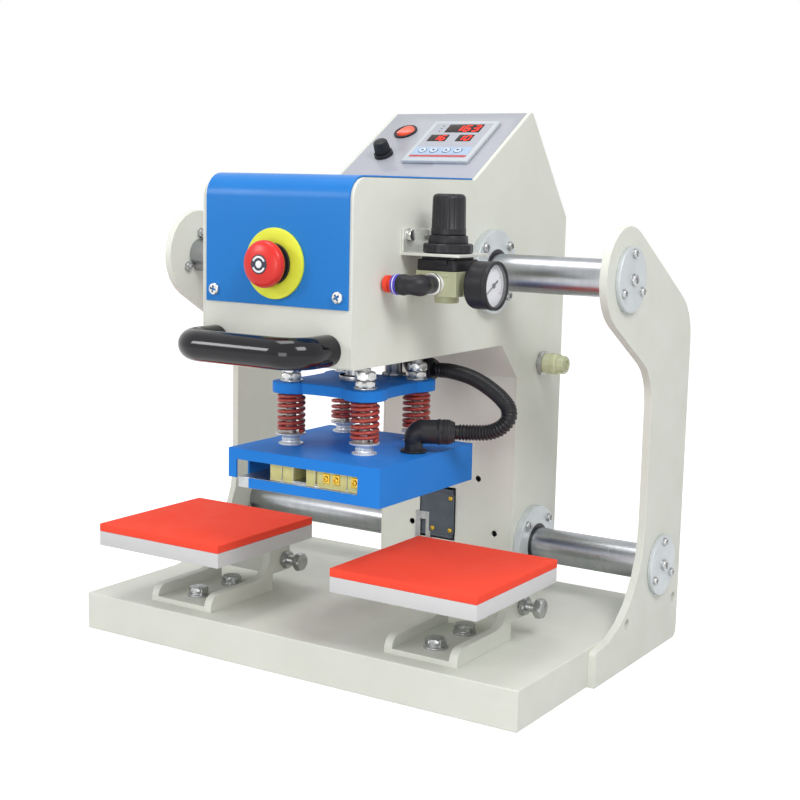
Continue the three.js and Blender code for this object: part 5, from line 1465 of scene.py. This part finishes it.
@dataclass
class Press:
    """Spider plate, posts, springs, heater cover and heating plate; millimetres."""

    x: float = 28
    y: float = 71.5
    half_x: float = 41
    half_y: float = 43.5
    spider: tuple = (262, 272)
    lobe: float = 17.5
    waist: tuple = (50, 47.5)
    fillet: float = 12
    flange: tuple = (9.2, 15, 5)
    guide: tuple = (38, 123)
    guide_radii: tuple = (8, 11.5, 13.5)
    guide_top: float = 373
    cover_top: float = 213
    plate_top: float = 186.5
    turns: int = 7
    coil: float = 11
    wire: tuple = (2.3, 1.75)
    wire_power: float = 2.6
    seat: float = 10.8
    strip: tuple = (-6, 101, -12.3, 22, 16.5)
    terminals: tuple = ((0, 0.128), (0.139, 0.257), (0.396, 0.495), (0.515, 0.832), (0.84, 1))
    screw_pitch: float = 14

    def spider_outline(self) -> Array:
        """Works out the spider: four round lobes, and between two of them a straight, filleted waist.

        At u from a lobe's centre the edge stands at e = h + sqrt(r^2 - u^2), falling on beyond r, and the
        outline at (e + w + sqrt((e - w)^2 + f^2)) / 2, w being the waist and f the fillet, 0 at the centre.
        Behind the rear waist stands the guide rod's lobe: there the farther of the edge and a circle holds.

        Returns:
            The outline about the press's axis, anticlockwise.
        """
        hx, hy, r = self.half_x, self.half_y, self.lobe
        boss = self.guide_radii[2]
        outline = []
        for index, (along, out, waist) in enumerate(((hx, hy, self.waist[1]), (hy, hx, self.waist[0])) * 2):
            s = np.linspace(-along, along, 160)[:-1]
            u = along - np.abs(s)
            edge = out + np.sqrt(np.maximum(r**2 - u**2, 0)) - np.maximum(u - r, 0)
            fillet = self.fillet * np.clip(u / r, 0, 1)
            away = (edge + waist + np.sqrt((edge - waist) ** 2 + fillet**2)) / 2
            if index == 2:
                off = -s - (self.guide[0] - self.x)
                rise = self.guide[1] - self.y + np.sqrt(np.maximum(boss**2 - off**2, 0))
                away = np.where(np.abs(off) < boss, np.maximum(away, rise), away)
            turn = np.radians(np.linspace(-90, 0, 16)[:-1])
            flank = np.stack([s, -away], 1)
            lobe = np.stack([along + r * np.cos(turn), -out + r * np.sin(turn)], 1)
            quarter = np.radians(90 * index)
            turned_by = np.array([[np.cos(quarter), np.sin(quarter)], [-np.sin(quarter), np.cos(quarter)]])
            outline.append(np.concatenate([flank, lobe]) @ turned_by)
        return np.concatenate(outline)

    def spider_plate(self) -> None:
        """Makes the spider with the rod's flange, and the guide rod that it carries."""
        low, (rod, seat, _) = self.spider[1], self.guide_radii
        bore, rim, thick = self.flange
        # The spider's blue is lightened: painted light where the head shades it.
        plate = slab(self.spider_outline() + np.array([self.x, self.y]), *self.spider, 0.8)
        flange = ring(bore, rim, low, low + thick, 0.6).moved(Place((self.x, self.y, 0)))
        stand_for("press_spider", "blue_spider", [(plate, BLUE_WITH_PAINTED_LIGHT), (flange, ZINC)])
        sit_on("press_spider", "guide_rod", placed(
            Place((*self.guide, 0)), (ring(0, rod, low - 4, self.guide_top, 0.8), SHAFT),
            (ring(rod - 1, seat, low + 0.05, low + 3, 0.6), SHAFT)))

    def post(self, name: str, x: float, y: float) -> None:
        """Makes a post: threaded stud, waisted nickel spacer, spring seat, and two washered nuts."""
        axis, top, foot = Place((x, y, 0)), self.spider[1], self.cover_top
        spacer = turned([(5, foot), (11.4, foot), (11.4, foot + 1.5), (8.3, foot + 2.6), (8.1, foot + 4.4),
                         (8.8, foot + 5), (8.1, foot + 5.6), (8.3, foot + 8), (13.6, foot + 9.2),
                         (13.9, foot + self.seat), (5, foot + self.seat)], 0.4)
        washer = ring(5, 10.4, top + 0.1, top + 1.5, 0.3)
        parts = placed(axis, (thread(5, self.plate_top, top + 18.8), NICKEL),
                       (hexagon(17, top + 1.5, top + 7.7, 1.2), NICKEL), (washer, NICKEL))
        parts += placed(axis.spun(15), (hexagon(17, top + 8.4, top + 15.7, 1.2), NICKEL))
        stand_for(f"{name}_post", f"{name}_stud_and_nuts", parts + placed(axis, (spacer, COLLAR)))

    def spring(self, name: str, x: float, y: float) -> None:
        """Makes a die spring: a flattened wire round a helix whose pitch closes towards its ends."""
        low, high = self.cover_top + self.seat + self.wire[0], self.spider[0] - self.wire[0]
        t = np.linspace(0, 1, self.turns * 44)
        rise = low + (high - low) * (t - 0.035 * np.sin(TURN * t))
        turn = TURN * self.turns * t
        path = np.stack([x + self.coil * np.cos(turn), y + self.coil * np.sin(turn), rise], 1)
        across = np.stack([np.cos(turn), np.sin(turn), 0 * turn], 1)
        ends = [tuple(in_frame([x, y, z])) for z in (low, high)]
        coil = tube(path, across, np.array([self.wire]), 16, self.wire_power)
        make_piece(f"{name}_die_spring", [(coil, SPRING)], "platen", [f"{name}_spring"],
                   ("platen", "press", *ends))

    def terminal_blocks(self) -> None:
        """Makes the terminal blocks with their brass screws, one to each pitch of a block's width."""
        left, width, front, depth, height = self.strip
        parts = []
        for a, b in self.terminals:
            x0, x1 = left + a * width - 0.2, left + b * width + 0.2
            flat = oblong(x1 - x0, depth + 0.6, 1.4, (x0 + x1) / 2, front + depth / 2)
            parts.append((slab(flat, self.plate_top, self.plate_top + height + 0.2, 0.9), CERAMIC))
            for x in np.linspace(x0, x1, 2 + int((x1 - x0) // self.screw_pitch))[1:-1]:
                spot = Facing.FRONT.at(x, front - 0.3, self.plate_top + 9)
                parts += placed(spot, (slab(oblong(7, 9, 0.8), 0, 1.0, 0.3), BRASS))
                parts += placed(spot.shifted(w=1.0), (screw_head(2.6, 1.5, Recess.CROSS), BRASS))
        sit_on("heating_plate", "terminal_blocks", parts)

    def build(self) -> None:
        """Makes the press's pieces."""
        self.spider_plate()
        for end, depth in (("front", -1), ("rear", 1)):
            for side, way in (("left", -1), ("right", 1)):
                spot = (self.x + way * self.half_x, self.y + depth * self.half_y)
                self.post(f"{end}_{side}", *spot)
                self.spring(f"{end}_{side}", *spot)
        # The heater cover's blue is lightened: painted light where the head shades it.
        refine("heater_cover", BLUE_WITH_PAINTED_LIGHT, 0.9)
        refine("heating_plate", ALUMINIUM, 0.5)
        self.terminal_blocks()


def plain(box: object) -> list:
    """Returns a box's corners as plain lists of numbers."""
    return [[float(value) for value in corner] for corner in box]


def main() -> None:
    """Builds the studio, then each sub-assembly in order."""
    logging.basicConfig(level=logging.INFO, format="%(name)s: %(message)s")
    for part in (Studio(), Conduit(), Frame(), Station("left", -138.5), Station("right", 138.5),
                 CarriageShell(), EmergencyStop(), ControlPanel(), Regulator(), Press()):
        LOG.info("building %s", type(part).__name__)
        part.build()
    {"cad": plain(cad_box), "visual": plain(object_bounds())}


if __name__ == "__main__":
    main()
